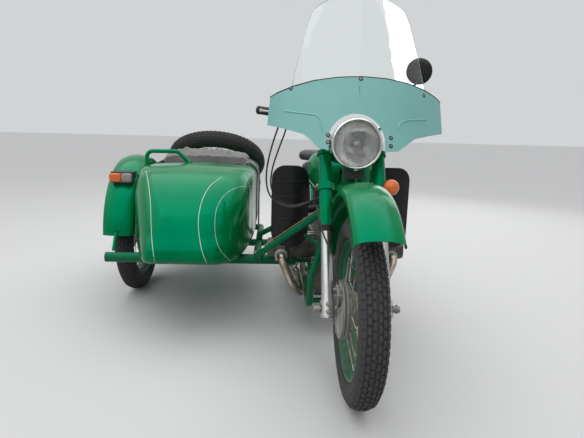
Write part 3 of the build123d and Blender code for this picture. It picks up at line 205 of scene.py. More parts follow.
class Effect:
    """Shared surface effects, each one node group that is built once."""

    made: dict[str, bpy.types.NodeTree] = {}

    @staticmethod
    def group(
        name: str, inputs: dict[str, float], outputs: Iterable[str], fill: Callable,
    ) -> bpy.types.NodeTree:
        """Return the named group, and build it the first time.

        Args:
            name: Name of the group.
            inputs: Float inputs and their defaults.
            outputs: Names of its float outputs.
            fill: Function that takes the tree's hand and its inputs, and returns the output sockets.

        Returns:
            The group's node tree.
        """
        if name not in Effect.made:
            tree = bpy.data.node_groups.new(name, "ShaderNodeTree")
            for key, value in inputs.items():
                tree.interface.new_socket(
                    key, in_out="INPUT", socket_type="NodeSocketFloat",
                ).default_value = value
            for key in outputs:
                tree.interface.new_socket(key, in_out="OUTPUT", socket_type="NodeSocketFloat")
            arrive = tree.nodes.new("NodeGroupInput")
            leave = tree.nodes.new("NodeGroupOutput")
            for socket, value in zip(leave.inputs, fill(Tree(tree), arrive.outputs)):
                tree.links.new(value, socket)
            Effect.made[name] = tree
        return Effect.made[name]

    @staticmethod
    def dust() -> bpy.types.NodeTree:
        """Return dust that settles on upward faces and splashes up low ones."""

        def fill(hand: Tree, given: bpy.types.NodeInputs) -> tuple:
            """Build the group's nodes and return its output sockets."""
            where = hand.node("TexCoord").outputs
            facing = hand.node("SeparateXYZ", None, Vector=where["Normal"]).outputs["Z"]
            height = hand.node("SeparateXYZ", None, Vector=where["Object"]).outputs["Z"]
            cloud = hand.noise(where["Object"], 9.0, 6.0, 0.65)
            fine = hand.noise(where["Object"], 160.0, 3.0, 0.7)
            settled = hand.calc("MULTIPLY", hand.remap(facing, 0.1, 1.0), hand.remap(cloud, 0.38, 0.68))
            splashed = hand.calc("MULTIPLY", hand.remap(height, 0.5, 0.1), hand.remap(cloud, 0.3, 0.6))
            both = hand.calc("MAXIMUM", settled, splashed)
            speckled = hand.calc("MULTIPLY", both, hand.remap(fine, 0.25, 0.6, 0.55, 1.0))
            return (hand.calc("MULTIPLY", speckled, given["Amount"]),)

        return Effect.group("settled_dust", {"Amount": 0.5}, ["Mask"], fill)

    @staticmethod
    def wear() -> bpy.types.NodeTree:
        """Return wear along the edges, broken up by noise."""

        def fill(hand: Tree, given: bpy.types.NodeInputs) -> tuple:
            """Build the group's nodes and return its output sockets."""
            where = hand.node("TexCoord").outputs["Object"]
            rounded = hand.node("Bevel", {"samples": 4}, Radius=given["Radius"]).outputs[0]
            true = hand.node("NewGeometry").outputs["Normal"]
            made = hand.node("VectorMath", {"operation": "DOT_PRODUCT"}, i0=rounded, i1=true)
            edge = hand.remap(made.outputs["Value"], 0.985, 0.86)
            patch = hand.remap(hand.noise(where, 38.0, 6.0, 0.7), 0.5, 0.62)
            return (hand.calc("MULTIPLY", hand.calc("MULTIPLY", edge, patch), given["Amount"]),)

        return Effect.group("edge_wear", {"Radius": 0.003, "Amount": 0.8}, ["Mask"], fill)

    @staticmethod
    def rust() -> bpy.types.NodeTree:
        """Return rust in patches with specks round them."""

        def fill(hand: Tree, given: bpy.types.NodeInputs) -> tuple:
            """Build the group's nodes and return its output sockets."""
            where = hand.node("TexCoord").outputs["Object"]
            patch = hand.noise(where, 7.0, 7.0, 0.72)
            speck = hand.noise(where, 90.0, 3.0, 0.6)
            reach = hand.calc("ADD", hand.calc("MULTIPLY", patch, 0.8), hand.calc("MULTIPLY", speck, 0.28))
            limit = hand.calc("SUBTRACT", 0.72, hand.calc("MULTIPLY", given["Amount"], 0.3))
            return (hand.remap(hand.calc("SUBTRACT", reach, limit), 0.0, 0.06), patch)

        return Effect.group("rust_patches", {"Amount": 0.3}, ["Mask", "Patch"], fill)

    @staticmethod
    def grain() -> bpy.types.NodeTree:
        """Return the height of a fine grain, and a slow mottling for colour."""

        def fill(hand: Tree, given: bpy.types.NodeInputs) -> tuple:
            """Build the group's nodes and return its output sockets."""
            where = hand.node("TexCoord").outputs["Object"]
            fine = hand.noise(where, given["Scale"], 2.0, 0.6)
            cells = hand.node("TexVoronoi", None, Vector=where, Scale=given["Scale"]).outputs["Distance"]
            height = hand.node("Mix", {"data_type": "FLOAT"}, i0=given["Cells"], i2=fine, i3=cells).outputs[0]
            return (height, hand.remap(hand.noise(where, given["Mottle"], 5.0, 0.6), 0.3, 0.7))

        return Effect.group(
            "surface_grain", {"Scale": 300.0, "Cells": 0.0, "Mottle": 5.0}, ["Height", "Mottling"], fill
        )

    @staticmethod
    def weave() -> bpy.types.NodeTree:
        """Return the height of a plain weave and its thread tone."""

        def fill(hand: Tree, given: bpy.types.NodeInputs) -> tuple:
            """Build the group's nodes and return its output sockets."""
            where = hand.node("TexCoord").outputs["Object"]
            bands = []
            for way in ("X", "Y", "Z"):
                wave = hand.node(
                    "TexWave", {"bands_direction": way, "wave_profile": "SIN"},
                    Vector=where, Scale=given["Threads"], Distortion=1.2, Detail=2.0, Detail_Scale=3.0,
                )
                bands.append(wave.outputs["Fac"])
            warp = hand.calc("MULTIPLY", bands[0], bands[1])
            cloth = hand.calc("MAXIMUM", warp, hand.calc("MULTIPLY", bands[2], bands[1]))
            return (cloth, hand.remap(hand.noise(where, 60.0, 4.0, 0.7), 0.3, 0.75))

        return Effect.group("plain_weave", {"Threads": 220.0}, ["Height", "Tone"], fill)


DUST: Colour = (0.30, 0.27, 0.22)
RUST: Colour = (0.17, 0.06, 0.025)


def begun(name: str) -> tuple[bpy.types.Material, Tree, bpy.types.ShaderNode]:
    """Return a new material, its tree's hand and its shader."""
    made = bpy.data.materials.new(name)
    made.use_nodes = True
    return made, Tree(made.node_tree), made.node_tree.nodes["Principled BSDF"]


def settle(shader: bpy.types.ShaderNode, **constants: object) -> None:
    """Set constants on a shader's own inputs, named with underscores for spaces."""
    for key, value in constants.items():
        shader.inputs[key.replace("_", " ")].default_value = value


@dataclass(frozen=True)
class Finish:
    """An opaque surface: paint, metal, rubber, vinyl or plastic, with its age on it."""

    name: str
    colour: Colour
    second: Colour
    metallic: float = 0.0
    rough: tuple[float, float] = (0.3, 0.5)
    coat: float = 0.0
    grain: float = 320.0
    cells: float = 0.0
    depth: float = 0.05
    mottle: float = 5.0
    dust: float = 0.25
    wear: float = 0.0
    worn: Colour = (0.35, 0.33, 0.30)
    rust: float = 0.0
    sheen: float = 0.0
    specular: float = 0.5
    tint: Colour = (1.0, 1.0, 1.0)

    def material(self) -> bpy.types.Material:
        """Return the finish as a material, built the first time."""
        ready = bpy.data.materials.get(self.name)
        if ready:
            return ready
        made, hand, shader = begun(self.name)
        made.diffuse_color = (*self.colour, 1.0)
        grain = self.effect(hand, Effect.grain(), Scale=self.grain, Cells=self.cells, Mottle=self.mottle)
        colour = hand.mix(grain["Mottling"], self.colour, self.second)
        rough = hand.remap(grain["Mottling"], 0.0, 1.0, *self.rough)
        for amount, group, tone, dulled, sockets in (
            (self.wear, Effect.wear, self.worn, 0.45, {"Amount": self.wear}),
            (self.rust, Effect.rust, RUST, 0.85, {"Amount": self.rust}),
            (self.dust, Effect.dust, DUST, 0.9, {"Amount": self.dust}),
        ):
            if amount > 0.0:
                mask = self.effect(hand, group(), **sockets)["Mask"]
                colour = hand.mix(mask, colour, tone)
                rough = hand.node("Mix", {"data_type": "FLOAT"}, i0=mask, i2=rough, i3=dulled).outputs[0]
        bump = hand.node("Bump", None, Strength=self.depth, Distance=0.001, Height=grain["Height"])
        hand.feed(shader.inputs["Base Color"], colour)
        hand.feed(shader.inputs["Roughness"], rough)
        hand.feed(shader.inputs["Normal"], bump.outputs[0])
        settle(
            shader, Metallic=self.metallic, Coat_Weight=self.coat, Coat_Roughness=0.08,
            Specular_IOR_Level=self.specular, Specular_Tint=(*self.tint, 1.0), Sheen_Weight=self.sheen,
        )
        return made

    @staticmethod
    def effect(hand: Tree, group: bpy.types.NodeTree, **values: float) -> bpy.types.NodeOutputs:
        """Place a shared effect in a material with its own values."""
        made = hand.node("Group", {"node_tree": group}, **values)
        return made.outputs


@dataclass(frozen=True)
class Canvas(Finish):
    """Woven cloth with stains and a soft sheen."""

    threads: float = 240.0

    def material(self) -> bpy.types.Material:
        """Return the cloth as a material, built the first time."""
        ready = bpy.data.materials.get(self.name)
        if ready:
            return ready
        made, hand, shader = begun(self.name)
        weave = self.effect(hand, Effect.weave(), Threads=self.threads)
        grain = self.effect(hand, Effect.grain(), Scale=self.grain, Cells=self.cells, Mottle=self.mottle)
        tone = hand.mix(grain["Mottling"], self.colour, self.second)
        threads = hand.mix(
            hand.calc("MULTIPLY", weave["Height"], 0.35), tone, tuple(c * 0.6 for c in self.colour),
        )
        dust = self.effect(hand, Effect.dust(), Amount=self.dust)["Mask"]
        bump = hand.node("Bump", None, Strength=self.depth, Distance=0.0008, Height=weave["Height"])
        hand.feed(shader.inputs["Base Color"], hand.mix(dust, threads, DUST))
        hand.feed(shader.inputs["Roughness"], hand.remap(weave["Tone"], 0.0, 1.0, *self.rough))
        hand.feed(shader.inputs["Normal"], bump.outputs[0])
        settle(shader, Sheen_Weight=self.sheen, Sheen_Roughness=0.6)
        return made


@dataclass(frozen=True)
class Clear:
    """A clear or tinted sheet, lens or glass."""

    name: str
    colour: Colour
    rough: float = 0.03
    ior: float = 1.49
    flutes: float = 0.0

    def material(self) -> bpy.types.Material:
        """Return the clear sheet as a material, built the first time."""
        ready = bpy.data.materials.get(self.name)
        if ready:
            return ready
        made, hand, shader = begun(self.name)
        settle(
            shader, Base_Color=(*self.colour, 1.0), Roughness=self.rough, Transmission_Weight=1.0,
            IOR=self.ior,
        )
        where = hand.node("TexCoord").outputs["Object"]
        if self.flutes > 0.0:
            wave = hand.node(
                "TexWave", {"bands_direction": "X", "wave_profile": "SIN"}, Vector=where, Scale=self.flutes,
            )
            height, depth = wave.outputs["Fac"], 0.9
        else:
            height, depth = hand.noise(where, 5.0, 2.0), 0.03
        bump = hand.node("Bump", None, Strength=depth, Distance=0.002, Height=height)
        hand.feed(shader.inputs["Normal"], bump.outputs[0])
        return made


GREEN = Finish(
    "green_enamel", (0.0, 0.165, 0.038), (0.0, 0.2, 0.052), rough=(0.13, 0.24),
    grain=900.0, depth=0.04, dust=0.0, wear=0.3, worn=(0.03, 0.09, 0.05), specular=0.6, tint=(0.0, 1.0, 0.8),
)
GREEN_WORN = Finish(
    "green_enamel_worn", (0.001, 0.115, 0.036), (0.003, 0.145, 0.05), rough=(0.28, 0.46),
    grain=500.0, depth=0.12, dust=0.14, wear=0.9, worn=(0.1, 0.06, 0.035), rust=0.2, specular=0.4,
    tint=(0.1, 1.0, 0.8),
)
MINT = Finish(
    "mint_enamel", (0.215, 0.5, 0.46), (0.235, 0.535, 0.49), rough=(0.3, 0.42),
    grain=700.0, depth=0.05, dust=0.04, wear=0.3, worn=(0.14, 0.18, 0.15), specular=0.35,
)
BLACK = Finish(
    "black_enamel", (0.014, 0.014, 0.016), (0.02, 0.02, 0.022), rough=(0.3, 0.45),
    grain=700.0, depth=0.05, dust=0.06, wear=0.5, worn=(0.08, 0.055, 0.035), specular=0.22,
)
ALLOY = Finish(
    "cast_alloy", (0.42, 0.41, 0.39), (0.34, 0.33, 0.31), metallic=0.85, rough=(0.42, 0.6),
    grain=450.0, cells=0.5, depth=0.25, dust=0.45,
)
SLIDER_ALLOY = Finish(
    "turned_alloy", (0.5, 0.5, 0.5), (0.44, 0.44, 0.44), metallic=1.0, rough=(0.28, 0.42),
    grain=260.0, depth=0.06, dust=0.12,
)
STEEL = Finish(
    "dull_steel", (0.36, 0.34, 0.32), (0.27, 0.25, 0.23), metallic=0.9, rough=(0.35, 0.6),
    grain=500.0, depth=0.12, dust=0.3, rust=0.35,
)
CHROME = Finish(
    "bright_plate", (0.68, 0.68, 0.67), (0.6, 0.6, 0.6), metallic=1.0, rough=(0.08, 0.18),
    grain=600.0, depth=0.02, dust=0.08, rust=0.08,
)
EXHAUST = Finish(
    "heated_steel", (0.48, 0.44, 0.39), (0.3, 0.22, 0.15), metallic=1.0, rough=(0.2, 0.42),
    grain=500.0, depth=0.05, mottle=9.0, dust=0.3, rust=0.3,
)
TYRE = Finish(
    "tyre_rubber", (0.022, 0.022, 0.023), (0.032, 0.031, 0.03), rough=(0.62, 0.85),
    grain=420.0, depth=0.2, mottle=14.0, dust=0.14, specular=0.25,
)
RUBBER = Finish(
    "moulded_rubber", (0.018, 0.018, 0.018), (0.028, 0.027, 0.026), rough=(0.55, 0.75), grain=380.0,
    depth=0.12,
)
PLASTIC = Finish(
    "black_plastic", (0.016, 0.016, 0.017), (0.022, 0.022, 0.023), rough=(0.35, 0.5), grain=650.0, depth=0.1,
)
VINYL = Finish(
    "black_vinyl", (0.018, 0.017, 0.017), (0.03, 0.028, 0.027), rough=(0.38, 0.55),
    grain=420.0, cells=1.0, depth=0.35, dust=0.3, sheen=0.15,
)
CLOTH = Canvas(
    "grey_canvas", (0.235, 0.23, 0.228), (0.15, 0.146, 0.146), rough=(0.75, 0.95), depth=0.5,
    mottle=6.0, dust=0.2, sheen=0.25,
)
SCREEN = Clear("clear_screen", (0.93, 0.96, 0.95), rough=0.02)
SCREEN_EDGE = Clear("screen_cut_edge", (0.45, 0.62, 0.58), rough=0.25)
LENS_GLASS = Clear("fluted_glass", (0.96, 0.97, 0.97), rough=0.02, ior=1.5, flutes=62.0)
AMBER_LENS = Finish(
    "amber_lens", (0.86, 0.17, 0.012), (0.8, 0.13, 0.01), rough=(0.1, 0.18), coat=0.3, grain=200.0,
    depth=0.02,
    dust=0.06,
)
RED_LENS = Finish(
    "red_lens", (0.55, 0.012, 0.01), (0.48, 0.01, 0.01), rough=(0.1, 0.18), coat=0.3, grain=200.0, depth=0.02,
    dust=0.06,
)
CLEAR_LENS = Finish(
    "clear_lens", (0.36, 0.34, 0.3), (0.28, 0.26, 0.23), rough=(0.12, 0.22), coat=0.3, grain=200.0,
    depth=0.03,
    dust=0.2,
)
# Engine alloy darkened far below bare alloy: partly grime, partly painted shade standing in for the shadow
# that lies over the engine.
DIRT_AND_SHADE_ALLOY = Finish(
    "grime_and_shade_alloy", (0.15, 0.145, 0.135), (0.085, 0.08, 0.072), metallic=0.7, rough=(0.5, 0.7),
    grain=450.0, cells=0.5, depth=0.3, mottle=14.0, dust=0.4,
)
REFLECTOR = Finish(
    "lamp_reflector", (0.82, 0.82, 0.8), (0.74, 0.73, 0.7), metallic=1.0, rough=(0.06, 0.14), grain=200.0,
    depth=0.02, dust=0.0,
)
MIRROR_GLASS = Finish(
    "mirror_silver", (0.85, 0.86, 0.86), (0.82, 0.83, 0.83), metallic=1.0, rough=(0.02, 0.05), grain=100.0,
    depth=0.0, dust=0.05,
)
RIM_GREEN = Finish(
    "wheel_rim_green", (0.012, 0.12, 0.06), (0.025, 0.155, 0.085), rough=(0.32, 0.5),
    grain=500.0, depth=0.1, dust=0.3, wear=0.8, worn=(0.1, 0.065, 0.04), rust=0.2, specular=0.3,
)
SPOKE_STEEL = Finish(
    "spoke_steel", (0.42, 0.4, 0.37), (0.3, 0.27, 0.23), metallic=0.85, rough=(0.35, 0.6),
    grain=700.0, depth=0.1, mottle=30.0, dust=0.25, rust=0.3,
)
WHITE_LINE = Finish(
    "white_line_paint", (0.72, 0.78, 0.7), (0.6, 0.68, 0.6), rough=(0.25, 0.4), coat=0.2, grain=600.0,
    depth=0.04,
    mottle=30.0, dust=0.1,
)
BEIGE = Finish("beige_sleeve", (0.42, 0.31, 0.17), (0.3, 0.22, 0.12), rough=(0.6, 0.8), mottle=20.0, dust=0.3)
RUSTED = Finish(
    "rusted_cap", (0.2, 0.085, 0.035), (0.11, 0.05, 0.028), rough=(0.8, 0.95), grain=260.0, cells=0.6,
    depth=0.5,
    mottle=40.0, dust=0.2,
)
HUB_ALLOY = Finish(
    "hub_alloy", (0.36, 0.35, 0.33), (0.27, 0.26, 0.24), metallic=0.8, rough=(0.45, 0.65),
    grain=420.0, cells=0.4, depth=0.25, dust=0.5,
)

NODE_FINISHES: dict[Finish | Clear, tuple[str, ...]] = {
    GREEN: (
        "fork_covers", "front_mudguard", "fuel_tank", "rear_mudguard", "sidecar_tub", "boot_lid",
        "sidecar_mudguard", "grab_rail", "fork_yokes",
    ),
    MINT: ("fairing",),
    BLACK: ("leg_shields", "air_cleaner", "centre_stand"),
    ALLOY: (
        "front_brake_plate", "final_drive", "control_levers",
    ),
    # These engine parts get the darkened alloy, partly grime and partly painted shade.
    DIRT_AND_SHADE_ALLOY: ("crankcase", "gearbox", "cylinders", "cylinder_heads", "carburettors"),
    SLIDER_ALLOY: ("fork_legs",),
    STEEL: ("front_axle", "drive_shaft", "rear_axle", "foot_controls", "sidecar_axle"),
    CHROME: ("handlebar",),
    EXHAUST: ("exhausts",),
    RUBBER: ("grips", "rubber_mounts"),
    PLASTIC: ("battery", "lamps", "shock_absorbers", "relay_box"),
    VINYL: ("rider_saddle", "passenger_saddle", "sidecar_seat"),
    CLOTH: ("cockpit_cover",),
    SCREEN: ("windscreen",),
    GREEN_WORN: ("main_frame", "swing_arm", "sidecar_frame", "sidecar_struts"),
}


def dress_nodes(nodes: Nodes) -> None:
    """Give every carried-over CAD node its finish."""
    for finish, names in NODE_FINISHES.items():
        for name in names:
            slots = nodes[name].data.materials
            slots.clear()
            slots.append(finish.material())
            log.info("node %s: %s", name, finish.name)


# Shape making


def basis(axis: Vector) -> tuple[Vector, Vector, Vector]:
    """Return two directions square to an axis, and the axis at unit length."""
    along = axis.normalized()
    aside = along.orthogonal().normalized()
    return aside, along.cross(aside), along


def circle(centre: Vector, aside: Vector, beside: Vector, radius: float, sides: int) -> list[Vector]:
    """Return evenly spaced points of one circle."""
    angles = (2.0 * math.pi * step / sides for step in range(sides))
    return [centre + (aside * math.cos(angle) + beside * math.sin(angle)) * radius for angle in angles]


def squircle(power: float, count: int, turn: float = 0.0) -> list[tuple[float, float]]:
    """Return points round a square of half width one whose corners are rounded by a power."""
    found = []
    for step in range(count):
        angle = 2.0 * math.pi * (step + turn) / count
        x, y = math.cos(angle), math.sin(angle)
        reach = (abs(x) ** power + abs(y) ** power) ** (-1.0 / power)
        found.append((x * reach, y * reach))
    return found


def rounded_box(
    across: tuple[float, float], upward: tuple[float, float], corner: float, steps: int = 8,
    shift: float = 0.0,
) -> list[tuple[float, float]]:
    """Return points round a rectangle with round corners.

    Args:
        across: Its least and greatest first coordinate.
        upward: Its least and greatest second coordinate.
        corner: Radius of its corners.
        steps: Count of steps round one corner.
        shift: Distance to move it along the first coordinate.

    Returns:
        The points, anticlockwise.
    """
    (left, right), (low, high) = across, upward
    found = []
    for cx, cy, start in (
        (right - corner, high - corner, 0), (left + corner, high - corner, 90),
        (left + corner, low + corner, 180), (right - corner, low + corner, 270),
    ):
        for step in range(steps + 1):
            angle = math.radians(start + 90.0 * step / steps)
            found.append((shift + cx + corner * math.cos(angle), cy + corner * math.sin(angle)))
    return found


def spaced(line: Outline, step: float, loop: bool = False) -> list[tuple[float, float]]:
    """Return points about a step apart along a line, without its last point unless it is a loop."""
    found = []
    for (x0, y0), (x1, y1) in zip(line, line[1:] + (line[:1] if loop else line[:0])):
        count = max(1, round(math.hypot(x1 - x0, y1 - y0) / step))
        found += [(x0 + (x1 - x0) * i / count, y0 + (y1 - y0) * i / count) for i in range(count)]
    return found


def tree_of(mesh: bpy.types.Mesh) -> BVHTree:
    """Return a search tree of a mesh's faces."""
    return BVHTree.FromPolygons([v.co for v in mesh.vertices], [p.vertices[:] for p in mesh.polygons])


class Form:
    """A mesh in the making, from turned, swept, sewn and cut shapes, with a finish for each slot."""

    def __init__(self, name: str, *finishes: Finish | Clear) -> None:
        """Start an empty mesh with a name and its finishes."""
        self.name = name
        self.finishes = finishes
        self.bm = bmesh.new()

    def skin(
        self, rings: Sequence[Sequence[Vector]], loop: bool = True, ends: bool = True, slot: int = 0,
    ) -> None:
        """Sew a skin through rings that have one count of points.

        Args:
            rings: The rings in order.
            loop: Whether each ring closes on itself.
            ends: Whether the first and last rings are filled.
            slot: Slot of the finish.
        """
        rows = [[self.bm.verts.new(point) for point in ring] for ring in rings]
        count = len(rows[0])
        for first, second in zip(rows, rows[1:]):
            for step in range(count if loop else count - 1):
                after = (step + 1) % count
                self.face((first[step], first[after], second[after], second[step]), slot)
        if ends:
            self.face(rows[0][::-1], slot)
            self.face(rows[-1], slot)

    def face(self, corners: Sequence[bmesh.types.BMVert], slot: int = 0) -> None:
        """Add one face over corners."""
        self.bm.faces.new(corners).material_index = slot

    def turned(
        self, outline: Outline, at: Vector, axis: Vector, slot: int = 0, sides: int = 48,
        closed: bool = False,
    ) -> None:
        """Turn an outline of (radius, height) in millimetres about an axis.

        Args:
            outline: Radii and heights along the axis.
            at: Where the height is zero.
            axis: Direction of the height.
            slot: Slot of the finish.
            sides: Count of facets round the axis.
            closed: Whether the outline returns to its first point.
        """
        aside, beside, along = basis(axis)
        points = list(outline) + ([outline[0]] if closed else [])
        rings = [
            circle(at + along * (height / 1000.0), aside, beside, max(radius, 0.001) / 1000.0, sides)
            for radius, height in points
        ]
        self.skin(rings, ends=False, slot=slot)

    def tube(
        self, points: Sequence[Vector], radius: float, sides: int = 12, slot: int = 0, loop: bool = False,
    ) -> None:
        """Sweep a round section along points.

        Args:
            points: Places along the tube, in metres.
            radius: Radius of the section in millimetres.
            sides: Count of facets round it.
            slot: Slot of the finish.
            loop: Whether the tube returns to its first point.
        """
        ways = []
        last = len(points) - 1
        for index in range(len(points)):
            before = points[index - 1] if index or loop else points[0]
            after = points[index + 1] if index < last else (points[0] if loop else points[-1])
            ways.append((after - before).normalized())
        aside = ways[0].orthogonal().normalized()
        rings = []
        for point, way in zip(points, ways):
            aside = (aside - way * aside.dot(way)).normalized()
            rings.append(circle(point, aside, way.cross(aside), radius / 1000.0, sides))
        self.skin(rings + ([rings[0]] if loop else []), ends=not loop, slot=slot)

    def slab(self, corners: Sequence[Vector], depth: Vector, slot: int = 0, ease: float = 0.0) -> None:
        """Make a plate.

        Args:
            corners: The corners of its near face, in metres.
            depth: Way from the near face to the far one.
            slot: Slot of the finish.
            ease: Edge rounding in millimetres.
        """
        part = bmesh.new()
        low = [part.verts.new(point) for point in corners]
        high = [part.verts.new(point + depth) for point in corners]
        part.faces.new(low[::-1])
        part.faces.new(high)
        for step in range(len(low)):
            after = (step + 1) % len(low)
            part.faces.new((low[step], low[after], high[after], high[step]))
        if ease:
            bmesh.ops.bevel(
                part, geom=part.edges[:], offset=ease / 1000.0, segments=2, affect="EDGES", profile=0.5,
            )
        for face in part.faces:
            face.material_index = slot
        scratch = bpy.data.meshes.new("slab")
        part.to_mesh(scratch)
        part.free()
        self.bm.from_mesh(scratch)
        bpy.data.meshes.remove(scratch)

    def block(self, at: Vector, size: Point, slot: int = 0, ease: float = 1.0) -> None:
        """Make an eased block round a middle point.

        Args:
            at: The middle.
            size: Width, depth and height in millimetres.
            slot: Slot of the finish.
            ease: Edge rounding in millimetres.
        """
        x, y, z = (value / 2.0 for value in size)
        corners = [at + mm(x * sx, y * sy, -z) for sx, sy in ((-1, -1), (1, -1), (1, 1), (-1, 1))]
        self.slab(corners, mm(0, 0, 2.0 * z), slot, ease)

    def bolt(self, at: Vector, axis: Vector, across: float = 13.0, head: float = 6.0, slot: int = 0) -> None:
        """Set a six-sided bolt head on its washer; sizes are in millimetres."""
        radius = across / 2.0
        self.turned(((0, -1), (radius * 1.4, -1), (radius * 1.4, 1.4), (0, 1.4)), at, axis, slot, 16)
        self.turned(
            ((radius * 1.12, 1.4), (radius * 1.12, head * 0.8), (radius * 0.85, head), (0, head)), at, axis,
            slot, 6,
        )

    def rivet(self, at: Vector, axis: Vector, radius: float = 5.0, rise: float = 2.5, slot: int = 0) -> None:
        """Set a domed head; sizes are in millimetres."""
        self.turned(((radius, -1), (radius, 0.3), (radius * 0.7, rise * 0.8), (0, rise)), at, axis, slot, 14)

    def mesh(self, crease: float = 38.0) -> bpy.types.Mesh:
        """Return the mesh with its finishes, smooth up to an angle in degrees."""
        bmesh.ops.remove_doubles(self.bm, verts=self.bm.verts[:], dist=2e-6)
        bmesh.ops.recalc_face_normals(self.bm, faces=self.bm.faces[:])
        made = bpy.data.meshes.new(self.name)
        self.bm.to_mesh(made)
        self.bm.free()
        for finish in self.finishes:
            made.materials.append(finish.material())
        made.shade_smooth()
        made.set_sharp_from_angle(angle=math.radians(crease))
        return made

    def piece(
        self, body: Body, slot: str, stands_for: Sequence[str] = (), crease: float = 38.0,
    ) -> bpy.types.Object:
        """Finish the mesh as a piece of the object.

        Args:
            body: Body that it rides on.
            slot: Material slot of the record; not used.
            stands_for: CAD nodes that it replaces.
            crease: Angle in degrees above which an edge stays sharp.

        Returns:
            The new object.
        """
        return mount(self.name, self.mesh(crease), body, stands_for)


def linked(name: str, data: bpy.types.ID) -> bpy.types.Object:
    """Return a new object of some data, put into the scene."""
    made = bpy.data.objects.new(name, data)
    bpy.context.scene.collection.objects.link(made)
    return made


def mount(
    name: str, mesh: bpy.types.Mesh, body: Body, stands_for: Sequence[str] = (),
    at: Matrix | None = None,
) -> bpy.types.Object:
    """Put a mesh into the scene, on a body, and report it.

    Args:
        name: Name of the piece.
        mesh: Its mesh.
        body: Body that it rides on.
        stands_for: CAD nodes that it replaces.
        at: Place of the mesh, or none where the mesh holds it.

    Returns:
        The new object.
    """
    made = linked(name, mesh)
    if at:
        made.matrix_world = at
    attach(made, body.value)
    if stands_for:
        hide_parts(*stands_for)
    log.info("piece %s: %d faces on %s", name, len(mesh.polygons), body.value)
    return made


def smooth_path(points: Sequence[Vector]) -> list[Vector]:
    """Return points along a smooth open spline that has the given control points."""
    data = bpy.data.curves.new("path", "CURVE")
    data.dimensions = "3D"
    spline = data.splines.new("NURBS")
    spline.points.add(len(points) - 1)
    for knot, point in zip(spline.points, points):
        knot.co = (*point, 1.0)
    spline.order_u = 3
    spline.use_endpoint_u = True
    spline.resolution_u = 8
    holder = bpy.data.objects.new("path", data)
    line = bpy.data.meshes.new_from_object(holder)
    found = [vertex.co.copy() for vertex in line.vertices]
    bpy.data.meshes.remove(line)
    bpy.data.objects.remove(holder)
    bpy.data.curves.remove(data)
    return found


# Cables


@dataclass
class ControlCables:
    """The two cables that loop out from the right lever and back behind the fork leg."""

    radius: float = 3.5
    routes: tuple[tuple[Point, ...], ...] = (
        (
            (-262, 347.6, 1045.5), (-278, 318, 1034), (-302, 326, 975), (-330, 352, 880), (-345, 380, 785),
            (-332, 396, 700), (-275, 398, 655), (-205, 388, 652), (-140, 372, 690), (-47.6, 332.3, 735.9),
        ),
        (
            (-254, 394, 1026.4), (-260, 396, 985), (-288, 404, 910), (-318, 414, 820), (-326, 418, 735),
            (-290, 420, 672), (-232, 418, 650), (-165, 405, 672), (-51.7, 340.3, 719.9),
        ),
    )

    def build(self) -> None:
        """Make both cables and their ferrules."""
        for name, route in zip(("brake_cable", "throttle_cable"), self.routes):
            path = smooth_path([place(*point) for point in route])
            form = Form(name, RUBBER, STEEL)
            form.tube(path, self.radius, 12)
            made = linked(name, form.mesh(60.0))
            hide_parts("control_cables")
            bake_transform(made)
            ends = Form(f"{name}_ferrule", STEEL, CHROME)
            ends.turned(
                ((0, -1), (4.4, -1), (4.8, 2), (4.8, 16), (4.2, 18), (3.6, 18)), path[0], path[2] - path[0],
                1, 16,
            )
            ends.piece(Body.FORK, "bright_steel")


# Wheels


@dataclass(frozen=True)
class WheelPlace:
    """Where one wheel is: its prefix, body and matrix."""

    name: str
    body: Body
    matrix: Matrix


def wheel_places() -> list[WheelPlace]:
    """Return the four wheels' places."""
    slope = DECK_SLOPE
    out = Vector((0.0, math.sin(slope), math.cos(slope)))
    down = Vector((0.0, math.cos(slope), -math.sin(slope)))
    spare = Matrix((out, down.cross(out), down)).transposed().to_4x4()
    spare.translation = lid_place(0.0, 205.0, 66.0)
    half_turn = Matrix.Rotation(math.pi, 4, "Z")
    return [
        WheelPlace("front", Body.FRONT_WHEEL, Matrix.Translation(place(0.0, 0.0, AXLE_Z))),
        WheelPlace("rear", Body.REAR_WHEEL, Matrix.Translation(place(0.0, 1500.0, AXLE_Z))),
        WheelPlace(
            "sidecar", Body.SIDECAR_WHEEL, Matrix.Translation(place(-1130.0, 1225.0, AXLE_Z)) @ half_turn,
        ),
        WheelPlace("spare", Body.LID, spare),
    ]


